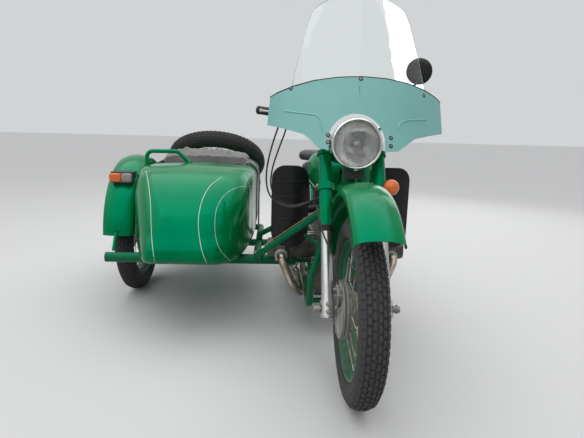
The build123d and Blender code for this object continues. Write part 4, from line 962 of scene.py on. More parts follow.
@dataclass
class BlockTyre:
    """Block-tread tyre with a ribbed sidewall, one mesh for all four wheels."""

    pitches: int = 72
    groove: float = 6.0
    block_share: float = 0.68
    rows: Outline = ((3.2, 14.0), (17.4, 28.6), (32.0, 44.6))
    crown: Outline = (
        (0.0, 344.8), (8.0, 344.6), (14.0, 343.6), (24.0, 339.6), (34.0, 335.4), (46.0, 317.4), (49.0, 290.0),
    )
    side: Outline = (
        (34.0, 329.6), (42.0, 317.0), (46.0, 306.0), (46.6, 301.0), (47.8, 299.5), (47.8, 296.0),
        (47.2, 293.0),
        (48.2, 286.0), (46.4, 277.0), (44.4, 270.0), (45.2, 268.0), (43.4, 264.6), (41.4, 262.0),
        (39.4, 258.6),
        (35.6, 257.6), (33.4, 256.4), (32.4, 254.8), (30.6, 248.0),
    )

    def top(self, x: float) -> float:
        """Return the radius of the tread's outside at a distance from the middle."""
        near = abs(x)
        for (x0, r0), (x1, r1) in zip(self.crown, self.crown[1:]):
            if near <= x1:
                return r0 + (r1 - r0) * (near - x0) / (x1 - x0)
        return self.crown[-1][1]

    def mesh(self) -> bpy.types.Mesh:
        """Return the tyre round the X axis, its middle at the origin."""
        form = Form("block_tyre", TYRE)
        floor = [(x, self.top(x) - self.groove) for x in (0.0, 8.0, 16.0, 24.0, 30.0)]
        half = floor + list(self.side)
        outline = [(r, x) for x, r in half] + [(r, -x) for x, r in reversed(half[1:])]
        form.turned(outline, Vector(), LEFT, sides=144, closed=True)
        for step in range(self.pitches):
            for row, (near, far) in enumerate(self.rows):
                for side in (-1, 1):
                    start = (step + (0.5 if row % 2 else 0.0) + (0.25 if side > 0 else 0.0)) / self.pitches
                    self.block(form, side * near, side * far, start)
        return form.mesh(30.0)

    def block(self, form: Form, near: float, far: float, start: float) -> None:
        """Stand one tread block on the tyre.

        Args:
            form: The tyre in the making.
            near: Distance of its inner side from the middle, in millimetres.
            far: Distance of its outer side from the middle, in millimetres.
            start: Where it begins round the tyre, as a share of a turn.
        """
        rings = []
        for rise, ease in ((-self.groove - 1.5, -1.0), (-1.0, 0.0), (0.0, 1.0)):
            ring = []
            for x, end in ((near, 0), (near, 1), (far, 1), (far, 0)):
                inset = math.copysign(ease, (near + far) / 2.0 - x)
                angle = 2.0 * math.pi * (start + end * self.block_share / self.pitches)
                angle += (1 if end == 0 else -1) * ease / 340.0
                radius = self.top(x) + rise
                ring.append(mm(x + inset, radius * math.cos(angle), radius * math.sin(angle)))
            rings.append(ring)
        rows = [[form.bm.verts.new(point) for point in ring] for ring in rings]
        for low, high in zip(rows, rows[1:]):
            for step in range(4):
                after = (step + 1) % 4
                form.face((low[step], low[after], high[after], high[step]))
        form.face(rows[-1])

    def build(self) -> None:
        """Put the tyre on every wheel."""
        mesh = self.mesh()
        for wheel in wheel_places():
            mount(
                f"{wheel.name}_tread", mesh, wheel.body, (f"{wheel.name}_tyre",), wheel.matrix,
            )


@dataclass
class LacedWheel:
    """Spoke nipples and heads, valve and hub rivets of each wheel, and the finishes of its CAD node."""

    spokes: int = 36
    rim_radius: float = 222.0
    hub_radius: float = 112.0
    lace_angle: float = math.radians(38.0)
    rivets: int = 6

    def paint(self, node: bpy.types.Object, matrix: Matrix) -> None:
        """Give the rim, the spokes and the hub their own finishes."""
        mesh = node.data
        mesh.materials.clear()
        for finish in (RIM_GREEN, SPOKE_STEEL, HUB_ALLOY):
            mesh.materials.append(finish.material())
        back = matrix.inverted()
        for polygon in mesh.polygons:
            middle = back @ polygon.center
            radius = math.hypot(middle.y, middle.z) * 1000.0
            polygon.material_index = 0 if radius > self.rim_radius else (2 if radius < self.hub_radius else 1)

    def mesh(self) -> bpy.types.Mesh:
        """Return the nipples, spoke heads, valve and hub fittings round the X axis."""
        form = Form("wheel_fittings", SPOKE_STEEL, RUBBER, HUB_ALLOY)
        for index in range(self.spokes):
            flange = 1 if index % 2 else -1
            lean = 1 if (index // 2) % 2 else -1
            rim = math.radians(360.0 / self.spokes * index)
            hub = rim + self.lace_angle * lean
            inner = mm(flange * 37.0 + 2.2 * lean, 88.0 * math.cos(hub), 88.0 * math.sin(hub))
            outer = mm(flange * 6.0, 225.5 * math.cos(rim), 225.5 * math.sin(rim))
            way = (outer - inner).normalized()
            form.turned(
                ((0, -19), (2.4, -19), (3.0, -16), (3.0, -3), (4.2, -1), (4.2, 3), (0, 3)), outer, way, 0, 8,
            )
            form.rivet(inner + mm(flange * 4.6, 0, 0), LEFT * flange, 3.6, 2.0)
        form.turned(
            ((6, 6), (6, 0), (4, -3), (4, -22), (3, -24), (4.6, -24.5), (4.6, -33), (0, -34)),
            mm(0.0, 224.0, 0.0), BACK, 1, 16,
        )
        for step in range(self.rivets):
            angle = math.radians(360.0 / self.rivets * step + 30.0)
            form.rivet(mm(46.5, 45.6 * math.cos(angle), 48.0 * math.sin(angle)), LEFT, 4.5, 3.0, 2)
        return form.mesh()

    def build(self, nodes: Nodes) -> None:
        """Dress all four wheels."""
        mesh = self.mesh()
        for wheel in wheel_places():
            self.paint(nodes[f"{wheel.name}_wheel"], wheel.matrix)
            mount(f"{wheel.name}_wheel_fittings", mesh, wheel.body, (), wheel.matrix)


# Front end


@dataclass
class Fork:
    """Fork seals, cap nuts, clamp bolts, axle nuts and the brake plate's gear."""

    leg_x: float = 107.0
    seal_height: float = 297.0
    seal_radius: float = 27.5
    cap_height: float = 636.0
    up: Vector = field(default_factory=lambda: fork_place(0, 0, 1000) - fork_place(0, 0, 0))

    def build(self) -> None:
        """Make the fork's fittings."""
        self.seals()
        self.nuts()
        self.brake()

    def seals(self) -> None:
        """Make the black ribbed dust seals at the sliders' tops."""
        form = Form("fork_seals", RUBBER)
        outline = [(22.3, -9.0), (24.5, -9.0), (24.5, -4.0)]
        for step in range(4):
            base = step * 4.0
            outline += [
                (self.seal_radius, base), (self.seal_radius, base + 2.0),
                (self.seal_radius - 2.0, base + 3.0),
            ]
        outline += [(26.2, 16.5), (22.3, 16.5)]
        for x in (-self.leg_x, self.leg_x):
            form.turned(outline, fork_place(x, 0, self.seal_height), self.up, closed=True)
        form.piece(Body.FORK, "rubber")

    def nuts(self) -> None:
        """Make cap nuts, the stem nut, the yokes' clamp bolts and the axle's nuts."""
        form = Form("fork_nuts", CHROME, STEEL)
        ahead = fork_place(0, -1, 0) - fork_place(0, 0, 0)
        for s in (-1, 1):
            across = LEFT * s
            form.bolt(fork_place(s * self.leg_x, 0, self.cap_height), self.up, 30.0, 8.0)
            for height in (462.0, 476.0):
                form.bolt(fork_place(s * 139.2, 0, height), across, 11.0, 6.0, 1)
            form.bolt(fork_place(s * 147.0, 0, 0), across, 24.0, 12.0, 1)
            for height in (14, -14):
                form.bolt(fork_place(s * self.leg_x, -28, height), ahead, 13.0, 7.0, 1)
            form.bolt(place(s * 102.2, 204.0, 925.0), across, 15.0, 7.0)
        form.bolt(fork_place(0, 60, 631), self.up, 34.0, 9.0)
        form.piece(Body.FORK, "bright_steel")

    def brake(self) -> None:
        """Make the front brake plate's rim, ribs, cam lever, cable and adjuster."""
        form = Form("front_brake_gear", ALLOY, STEEL, RUBBER)
        out = Vector((-1, 0, 0))
        middle = place(-57.5, 0, AXLE_Z)
        form.turned(((100, 7.0), (104, 7.0), (106, 8.5), (104, 10.5), (100, 10.5), (96, 12.2)), middle, out)
        for step in range(10):
            angle = math.radians(36.0 * step + 12.0)
            ray = Vector((0, math.cos(angle), math.sin(angle)))
            side = Vector((0, -math.sin(angle), math.cos(angle)))
            start, stop = middle + ray * 0.046, middle + ray * 0.092
            corners = [start + side * 0.003, stop + side * 0.002, stop - side * 0.002, start - side * 0.003]
            form.slab([corner + out * 0.011 for corner in corners], out * 0.0065, 0, 1.0)
        cam = place(-71.0, -58.0, AXLE_Z + 26.0)
        form.turned(((0, -8), (15, -8), (15, 2), (11, 6), (0, 6)), cam, out)
        tip = place(-79.0, -86.0, AXLE_Z + 82.0)
        lever = tip - cam
        beside = lever.cross(out).normalized()
        start = cam + out * 0.005
        form.slab(
            [start + beside * 0.011, tip + beside * 0.006, tip - beside * 0.006, start - beside * 0.011],
            out * 0.006, 1, 1.5,
        )
        form.bolt(cam + out * 0.011, out, 15.0, 7.0, 1)
        form.turned(((0, -9), (6, -9), (6, 9), (0, 9)), tip, out, 1, 16)
        form.tube(
            smooth_path([
                tip, place(-84, -70, 470), place(-92, -20, 540), place(-134, 60, 620), place(-146, 130, 700),
            ]),
            3.2, 10, 2,
        )
        form.turned(
            ((0, 0), (5, 0), (5, 26), (7, 28), (7, 36), (0, 38)), tip, place(-84, -70, 470) - tip, 1, 12,
        )
        form.turned(
            ((0, 0), (13, 0), (13, 1.5), (9, 1.5), (9, -3), (0, -3)), place(-70.6, 40, AXLE_Z + 52), out, 1,
            24,
        )
        form.turned(((0, 0.2), (8.6, 0.2)), place(-70.9, 40, AXLE_Z + 52), out, 2, 24)
        form.piece(Body.FORK, "bare_alloy")


@dataclass
class Headlamp:
    """Headlamp: painted shell, plated rim, fluted glass, reflector and bulb cap."""

    at: Vector = field(default_factory=lambda: place(0.0, 156.0, 935.0))
    shell: Outline = (
        (93.0, 14.0), (95.5, 16.0), (95.5, 24.0), (94.0, 27.0), (91.0, 50.0), (86.5, 66.0), (80.0, 80.0),
        (70.0, 92.5), (58.0, 102.0), (44.0, 109.0), (30.0, 114.0), (14.0, 116.6), (0.0, 117.0),
    )
    rim: Outline = (
        (88.5, 7.0), (88.5, 2.4), (90.0, 0.9), (92.0, 1.2), (94.6, 3.6), (97.0, 8.0), (98.0, 13.0),
        (97.6, 19.0),
        (95.8, 20.4), (95.0, 14.0), (91.0, 8.0),
    )
    glass: Outline = (
        (0.0, -1.9), (20.0, -1.7), (40.0, -0.8), (58.0, 0.8), (72.0, 2.8), (89.5, 5.4),
        (89.5, 8.6), (72.0, 6.0), (58.0, 4.0), (40.0, 2.4), (20.0, 1.5), (0.0, 1.3),
    )
    bowl: Outline = (
        (90.0, 9.0), (86.0, 20.0), (76.0, 36.0), (62.0, 52.0), (44.0, 66.0), (26.0, 75.0), (14.0, 79.0),
        (0.0, 79.5),
    )

    def build(self) -> None:
        """Make the lamp's pieces in place of its CAD node."""
        shell = Form("headlamp_shell", GREEN, RUBBER)
        shell.turned(self.shell, self.at, BACK, sides=72)
        shell.turned(
            ((19, 96.6), (19, 116.0), (13, 120.0), (10, 119.6), (10, 110)), self.at - mm(0, 4, 0), BACK, 1,
            24,
        )
        for s in (-1, 1):
            start = place(s * 85.0, 204.0, 925.0)
            shell.turned(((7, 0), (7, 10.5), (0, 10.5)), start, LEFT * s, 0, 24)
        shell.piece(Body.FORK, "green_paint", ("headlamp",))
        rim = Form("headlamp_rim", CHROME)
        rim.turned(self.rim, self.at, BACK, sides=96, closed=True)
        clip = ((-7, 2, -97), (7, 2, -97), (7, 18, -97.5), (-7, 18, -97.5))
        rim.slab([self.at + Vector(p) / 1000 for p in clip], Vector((0, 0, -0.0025)), 0, 0.8)
        rim.rivet(self.at + mm(0, 10, -99), -UP, 3.5, 2.0)
        rim.piece(Body.FORK, "bright_steel")
        bowl = Form("headlamp_reflector", REFLECTOR)
        bowl.turned(self.bowl, self.at, BACK, sides=72)
        bowl.piece(Body.FORK, "bright_steel")
        cap = Form("headlamp_bulb_cap", CHROME)
        cap.turned(
            ((0, 26), (8, 26.5), (13, 30), (14, 38), (12.6, 39), (11, 34), (7, 32), (0, 31.6)), self.at, BACK,
            0, 32,
        )
        for s in (1, -1):
            cap.tube([self.at + mm(0, y, s * z) for y, z in ((38, 13), (60, 34), (68, 40))], 1.4, 8)
        cap.piece(Body.FORK, "bright_steel")
        glass = Form("headlamp_glass", LENS_GLASS)
        glass.turned(self.glass, self.at, BACK, sides=96)
        glass.piece(Body.FORK, "clear_sheet")


@dataclass
class HandlebarFairing:
    """Pressed ribs, screws, edge beads and the crack of the fairing, and the screen's edge."""

    middle: float = 24.0
    nose: float = 130.0
    wing: float = 330.0
    reach: float = 385.0
    lean: float = math.radians(20.0)
    low: float = 860.0
    left_rib: Outline = ((161, 991), (165, 1003), (172, 1017), (190, 1027), (233, 1031), (290, 1033))
    right_rib: Outline = ((-130, 983), (-133, 1010), (-139, 1030), (-152, 1040), (-212, 1046), (-272, 1054))
    screws: Outline = (
        (-248, 1143), (17, 1180), (286, 1130), (-108, 965), (-108, 939), (131, 960), (130, 930),
    )
    top_edge: Outline = (
        (-331, 1112), (-300, 1130), (-240, 1153), (-160, 1173.5), (-70, 1186), (24, 1190), (118, 1186),
        (208, 1173.5),
        (288, 1153), (348, 1130), (381, 1112),
    )
    screen_edge: Outline = (
        (-252, 1112), (-216, 1285), (-181, 1413), (-160, 1460), (-131, 1482), (-96, 1498), (-40, 1511.5),
        (24, 1516.5),
        (88, 1511.5), (144, 1498), (179, 1482), (208, 1460), (229, 1413), (264, 1285), (300, 1112),
    )

    def surface(self, x: float, z: float, back: float = 0.0) -> Vector:
        """Return the point of the front sheet at x and z, at a distance behind it, in millimetres."""
        depth = self.wing - self.nose
        radius = (self.reach ** 2 + depth ** 2) / (2.0 * depth)
        aside = x - self.middle
        bow = radius - math.sqrt(radius ** 2 - aside ** 2)
        return place(x, self.nose + back + bow + math.tan(self.lean) * (z - self.low), z)

    def facing(self, x: float, z: float) -> Vector:
        """Return the direction that the front sheet faces at x and z."""
        across = self.surface(x + 1.0, z) - self.surface(x - 1.0, z)
        up = self.surface(x, z + 1.0) - self.surface(x, z - 1.0)
        return across.cross(up).normalized()

    def along(self, line: Sequence[tuple[float, float]], back: float, step: float = 12.0) -> list[Vector]:
        """Return close points on the sheet along a line of (x, z) places."""
        return [self.surface(x, z, back) for x, z in (*spaced(line, step), line[-1])]

    def build(self) -> None:
        """Make the fairing's trim."""
        ribs = Form("fairing_ribs", MINT)
        for line in (self.left_rib, self.right_rib):
            ribs.tube(smooth_path(self.along(line, 1.2, 30.0)), 4.0, 12)
        ribs.piece(Body.FORK, "mint_paint")
        screws = Form("fairing_screws", STEEL, BLACK)
        for x, z in self.screws:
            at, way = self.surface(x, z), self.facing(x, z)
            screws.turned(((0, 0.4), (8.5, 0.4), (9.0, -0.6)), at, way, 1, 20)
            screws.rivet(at, way, 5.6, 3.2)
            screws.slab([at + way * 0.0026 + v for v in self.slit(way)], way * 0.0008, 1)
        screws.piece(Body.FORK, "bare_steel")
        bead = Form("fairing_edge_bead", BLACK)
        bead.tube(self.along([(x, z - 1.5) for x, z in self.top_edge], 1.4, 16.0), 2.4, 10)
        bead.piece(Body.FORK, "black_paint")
        crack = Form("fairing_crack", BLACK)
        line = ((13, 1152), (10.5, 1144), (12.5, 1136), (9.5, 1126), (13.5, 1117), (11.5, 1106))
        left = [self.surface(x - 0.9 * (1 - i / 6), z, -0.35) for i, (x, z) in enumerate(line)]
        right = [self.surface(x + 0.9 * (1 - i / 6) + 0.1, z, -0.35) for i, (x, z) in enumerate(line)]
        crack.skin([left, right], loop=False, ends=False)
        crack.piece(Body.FORK, "black_paint")
        rim = Form("screen_edge", SCREEN_EDGE)
        rim.tube(self.along(self.screen_edge, 5.8, 18.0), 1.7, 8)
        rim.piece(Body.FORK, "clear_sheet")

    def slit(self, way: Vector) -> list[Vector]:
        """Return the corners of a screw head's slot."""
        aside, beside, _ = basis(way)
        return [aside * sx * 0.0044 + beside * sy * 0.0006 for sx, sy in ((-1, -1), (1, -1), (1, 1), (-1, 1))]


@dataclass
class BarFittings:
    """Grips' ribs, lever pivots, the mirror's face and the signal lamp's lens."""

    bend: Vector = field(default_factory=lambda: Vector((240.0, 385.0, 1042.0)))
    end: Vector = field(default_factory=lambda: Vector((378.0, 470.0, 1062.0)))

    def at(self, s: int, along: float) -> Vector:
        """Return the point on one bar end at a distance outward from its bend."""
        point = self.bend + (self.end - self.bend).normalized() * along
        return place(s * point.x, point.y, point.z)

    def build(self, nodes: Nodes) -> None:
        """Make the bar's fittings and face the mirror."""
        length = (self.end - self.bend).length
        ribs = Form("grip_ribs", RUBBER)
        for s in (-1, 1):
            way = self.at(s, length) - self.at(s, 30.0)
            count = 30
            for step in range(count):
                at = self.at(s, 36.0 + (length - 36.0) * step / count)
                ribs.turned(((15.8, -1.0), (17.4, -0.7), (17.4, 0.9), (15.8, 1.2)), at, way, 0, 28)
            ribs.turned(
                ((16.2, -4), (19.5, -3), (19.5, 1), (15, 3.0), (11, 1.6)), self.at(s, 33.5), way, 0, 28,
            )
            ribs.turned(
                ((16.4, -3), (18.2, -2), (18.2, 1.5), (15, 4.4), (0, 5.2)), self.at(s, length + 3.0), way, 0,
                28,
            )
        ribs.piece(Body.FORK, "rubber")
        bolts = Form("lever_pivots", STEEL)
        for s in (-1, 1):
            bolts.bolt(place(s * 260, 352, 1051.2), UP, 10.0, 5.0)
            bolts.bolt(self.at(s, 17) + mm(0, 0, 17), UP, 9.0, 5.0)
            bolts.tube([self.at(s, 16) + mm(0, -18, -4), place(s * 262, 352, 1043)], 3.0, 8)
        bolts.piece(Body.FORK, "bare_steel")
        self.mirror(nodes["mirror"])
        lens = Form("signal_lens", AMBER_LENS, PLASTIC, CHROME)
        at, back = place(136, 124, 775), BACK
        lens.turned(
            (
                (0, -0.4), (9, 0.2), (15, 2.0), (21, 5.4), (26.4, 10), (28.6, 14), (30.2, 19), (30.2, 24),
                (27, 24),
            ),
            at, back, 0, 48,
        )
        for step in range(4):
            lens.turned(((9.0 + step * 4.6, 1.0 + step * 2.1), (9.9 + step * 4.6, -0.1 + step * 2.2),
                         (11.0 + step * 4.6, 1.7 + step * 2.2)), at, back, 0, 48)
        lens.turned(
            ((30.4, 23.6), (31.2, 25), (31.2, 29), (30.4, 30), (30.2, 40), (22.4, 46.2), (0, 48.4)), at, back,
            1, 48,
        )
        lens.turned(((0, 44), (7.2, 44), (7.2, 52), (6, 53)), at, back, 2, 24)
        lens.tube([place(136, 168, 775), place(128, 186, 775), place(116, 200, 775)], 6.6, 16, 2)
        lens.piece(Body.FORK, "amber_plastic", ("turn_signal",))

    def mirror(self, node: bpy.types.Object) -> None:
        """Paint the mirror's back black and leave its glass bright."""
        mesh = node.data
        mesh.materials.clear()
        mesh.materials.append(BLACK.material())
        mesh.materials.append(MIRROR_GLASS.material())
        way = Vector((0.25, 1.0, 0.05)).normalized()
        face = place(290, 408, 1236) + way * 0.0085
        for polygon in mesh.polygons:
            near = abs((polygon.center - face).dot(way)) < 0.0012 and polygon.normal.dot(way) > 0.9
            polygon.material_index = 1 if near else 0


# Engine and chassis fittings


@dataclass
class Engine:
    """Bolts, plugs, push rod tubes, fins and clamps of the flat twin and its gearbox."""

    head_out: float = 290.0
    carb_x: float = 262.0

    def build(self) -> None:
        """Make the engine's fittings."""
        self.cases()
        self.cylinders()
        self.intake()
        self.exhaust_collars()

    def cases(self) -> None:
        """Make the crankcase's and gearbox's bolts, breather and filler caps."""
        form = Form("case_bolts", STEEL, ALLOY)
        for step in range(8):
            angle = math.radians(45.0 * step + 22.5)
            form.bolt(place(80 * math.cos(angle), 478.5, CRANK_Z + 80 * math.sin(angle)), FRONT, 10.0, 6.0)
        form.turned(((0, -2), (24, -2), (24, 3), (20, 6), (0, 6)), place(0, 472, CRANK_Z), FRONT, 1, 40)
        for s in (-1, 1):
            side = LEFT * s
            for y in (545, 600, 655, 710):
                form.bolt(place(s * 100, y, 214), side, 10.0, 6.0)
            for y, z in ((520, 470), (560, 535), (742, 500), (742, 300)):
                form.bolt(place(s * 100, y, z), side, 12.0, 7.0)
            for y, z in ((785, 265), (840, 262), (900, 258), (940, 300), (948, 400), (900, 478), (790, 492)):
                form.bolt(place(s * 85, y, z), side, 10.0, 6.0)
        form.turned(((0, -2), (19, -2), (19, 8), (15, 12), (0, 12)), place(60, 620, 560), UP, 1, 32)
        form.turned(((0, -2), (13, -2), (13, 12), (10, 14), (0, 14)), place(-50, 800, 512), UP, 0, 6)
        form.piece(Body.CHASSIS, "bare_steel")

    def cylinders(self) -> None:
        """Make base nuts, push rod tubes, head fins, cover ribs and plugs on both sides."""
        form = Form("cylinder_fittings", ALLOY, CHROME, PLASTIC)
        for s in (-1, 1):
            side = LEFT * s
            for step in range(4):
                angle = math.radians(90.0 * step + 45.0)
                at = place(s * 108, CRANK_Y + 55 * math.cos(angle), CRANK_Z + 55 * math.sin(angle))
                form.bolt(at, side, 11.0, 8.0, 1)
            for y in (622, 658):
                form.tube([place(s * 97, y, 482), place(s * 170, y, 480), place(s * 250, y, 466)], 6.5, 16, 1)
            for step in range(4):
                self.fin(form, s * (251.0 + 10.4 * step), s)
            for step in range(5):
                z = CRANK_Z + (step - 2) * 14.0
                half = 41.0 if abs(step - 2) < 2 else 33.0
                form.block(place(s * 333.4, CRANK_Y, z), (4.5, 2 * half, 4.0), 0, 1.2)
            form.turned(
                ((0, -2), (13, -2), (13, 4), (9, 8), (0, 12)), place(s * 334, CRANK_Y, CRANK_Z), side, 1, 24,
            )
            for y, z in ((590, 458), (690, 458), (590, 362), (690, 362)):
                form.bolt(place(s * (self.head_out - 1), y, z), side, 10.0, 7.0, 1)
            at, way = place(s * 268, 594, 460), Vector((0, -0.72, 0.69))
            form.turned(((0, -6), (9, -6), (9, 4), (6, 5), (6, 20), (3, 22), (0, 22)), at, way, 1, 20)
            form.turned(((0, 12), (9.5, 12), (10, 16), (10, 40), (8, 46), (0, 47)), at, way, 2, 20)
        form.piece(Body.CHASSIS, "bare_alloy")

    def fin(self, form: Form, x: float, s: int) -> None:
        """Make one cooling fin round a head, square with wide round corners."""
        corners = [place(x, CRANK_Y + 68.0 * y, CRANK_Z + 63.0 * z) for y, z in squircle(5, 32, 0.5)]
        form.slab(corners, Vector((s * 0.003, 0, 0)), 0, 0.6)

    def intake(self) -> None:
        """Make the carburettors' caps and bowls, the ducts' clamps and the air cleaner's lid."""
        form = Form("intake_fittings", ALLOY, STEEL, BLACK)
        up = Vector((0, 0, 1))
        for s in (-1, 1):
            x = s * self.carb_x
            form.turned(
                ((23, -3), (25, -2), (25, 8), (21, 12), (9, 15), (0, 15)), place(x, 742, 505), up, 0, 36,
            )
            form.turned(((0, 12), (6, 12), (6, 24), (4, 27), (0, 27)), place(x, 742, 505), up, 1, 12)
            form.turned(
                ((0, -1), (14, -1), (18, 4), (24.5, 8), (24.5, 14), (22, 15)), place(x, 742, 376), up, 0, 36,
            )
            form.turned(((23, -4), (26.5, -4), (26.5, 0), (23, 0)), place(x, 742, 420), up, 1, 36)
            for y in (712, 772):
                form.turned(((22, 0), (24.6, 0), (24.6, 8), (22, 8)), place(x, y, 430), BACK, 1, 36)
                form.bolt(place(x + s * 5, y + 4, 455), LEFT * s, 7.0, 9.0, 1)
            form.bolt(place(x + s * 22, 742, 462), LEFT * s, 9.0, 6.0, 1)
            form.turned(((20, 0), (23, 0), (23, 10), (20, 10)), place(x, 800, 430), BACK, 1, 36)
        form.turned(
            ((0, -1), (30, 0), (58, 1), (64.5, 0), (66, 2), (66, 8), (63, 10), (40, 14), (12, 15), (0, 15)),
            place(0, 822, 640), up, 2, 64,
        )
        form.turned(((0, 14), (8, 14), (8, 20), (4, 23), (4, 30), (0, 31)), place(0, 822, 640), up, 1, 24)
        for s in (-1, 1):
            form.block(place(s * 9, 822, 665), (14.0, 3.0, 9.0), 1, 1.0)
        form.turned(((61.5, 0), (63, 1), (63, 9), (61.5, 10)), place(0, 822, 560), up, 1, 64)
        form.piece(Body.CHASSIS, "bare_alloy")

    def exhaust_collars(self) -> None:
        """Make the finned collars at the heads and the clamps on the silencers."""
        form = Form("exhaust_collars", ALLOY, STEEL)
        for s in (-1, 1):
            outline = [(19.4, -2.0), (25, -2.0)]
            for step in range(4):
                outline += [(30.0, step * 5.0), (30.0, step * 5.0 + 2.0), (24.0, step * 5.0 + 3.4)]
            outline += [(22, 21), (19.4, 21)]
            form.turned(outline, place(s * 268, 575, 390), FRONT, 0, 40, closed=True)
            way = Vector((s * 24, 100, 36))
            form.turned(((19.3, 0), (22, 0), (22, 14), (19.3, 14)), place(s * 176, 905, 205), way, 1, 40)
            form.bolt(place(s * 176, 912, 232), LEFT, 9.0, 8.0, 1)
            tail = place(s * 196, 1527, 248.7)
            form.turned(((24.2, 0), (25.6, 0), (25.6, 6), (24.2, 6)), tail, Vector((0, 1, 0.03)), 1, 40)
        form.piece(Body.CHASSIS, "bare_alloy")


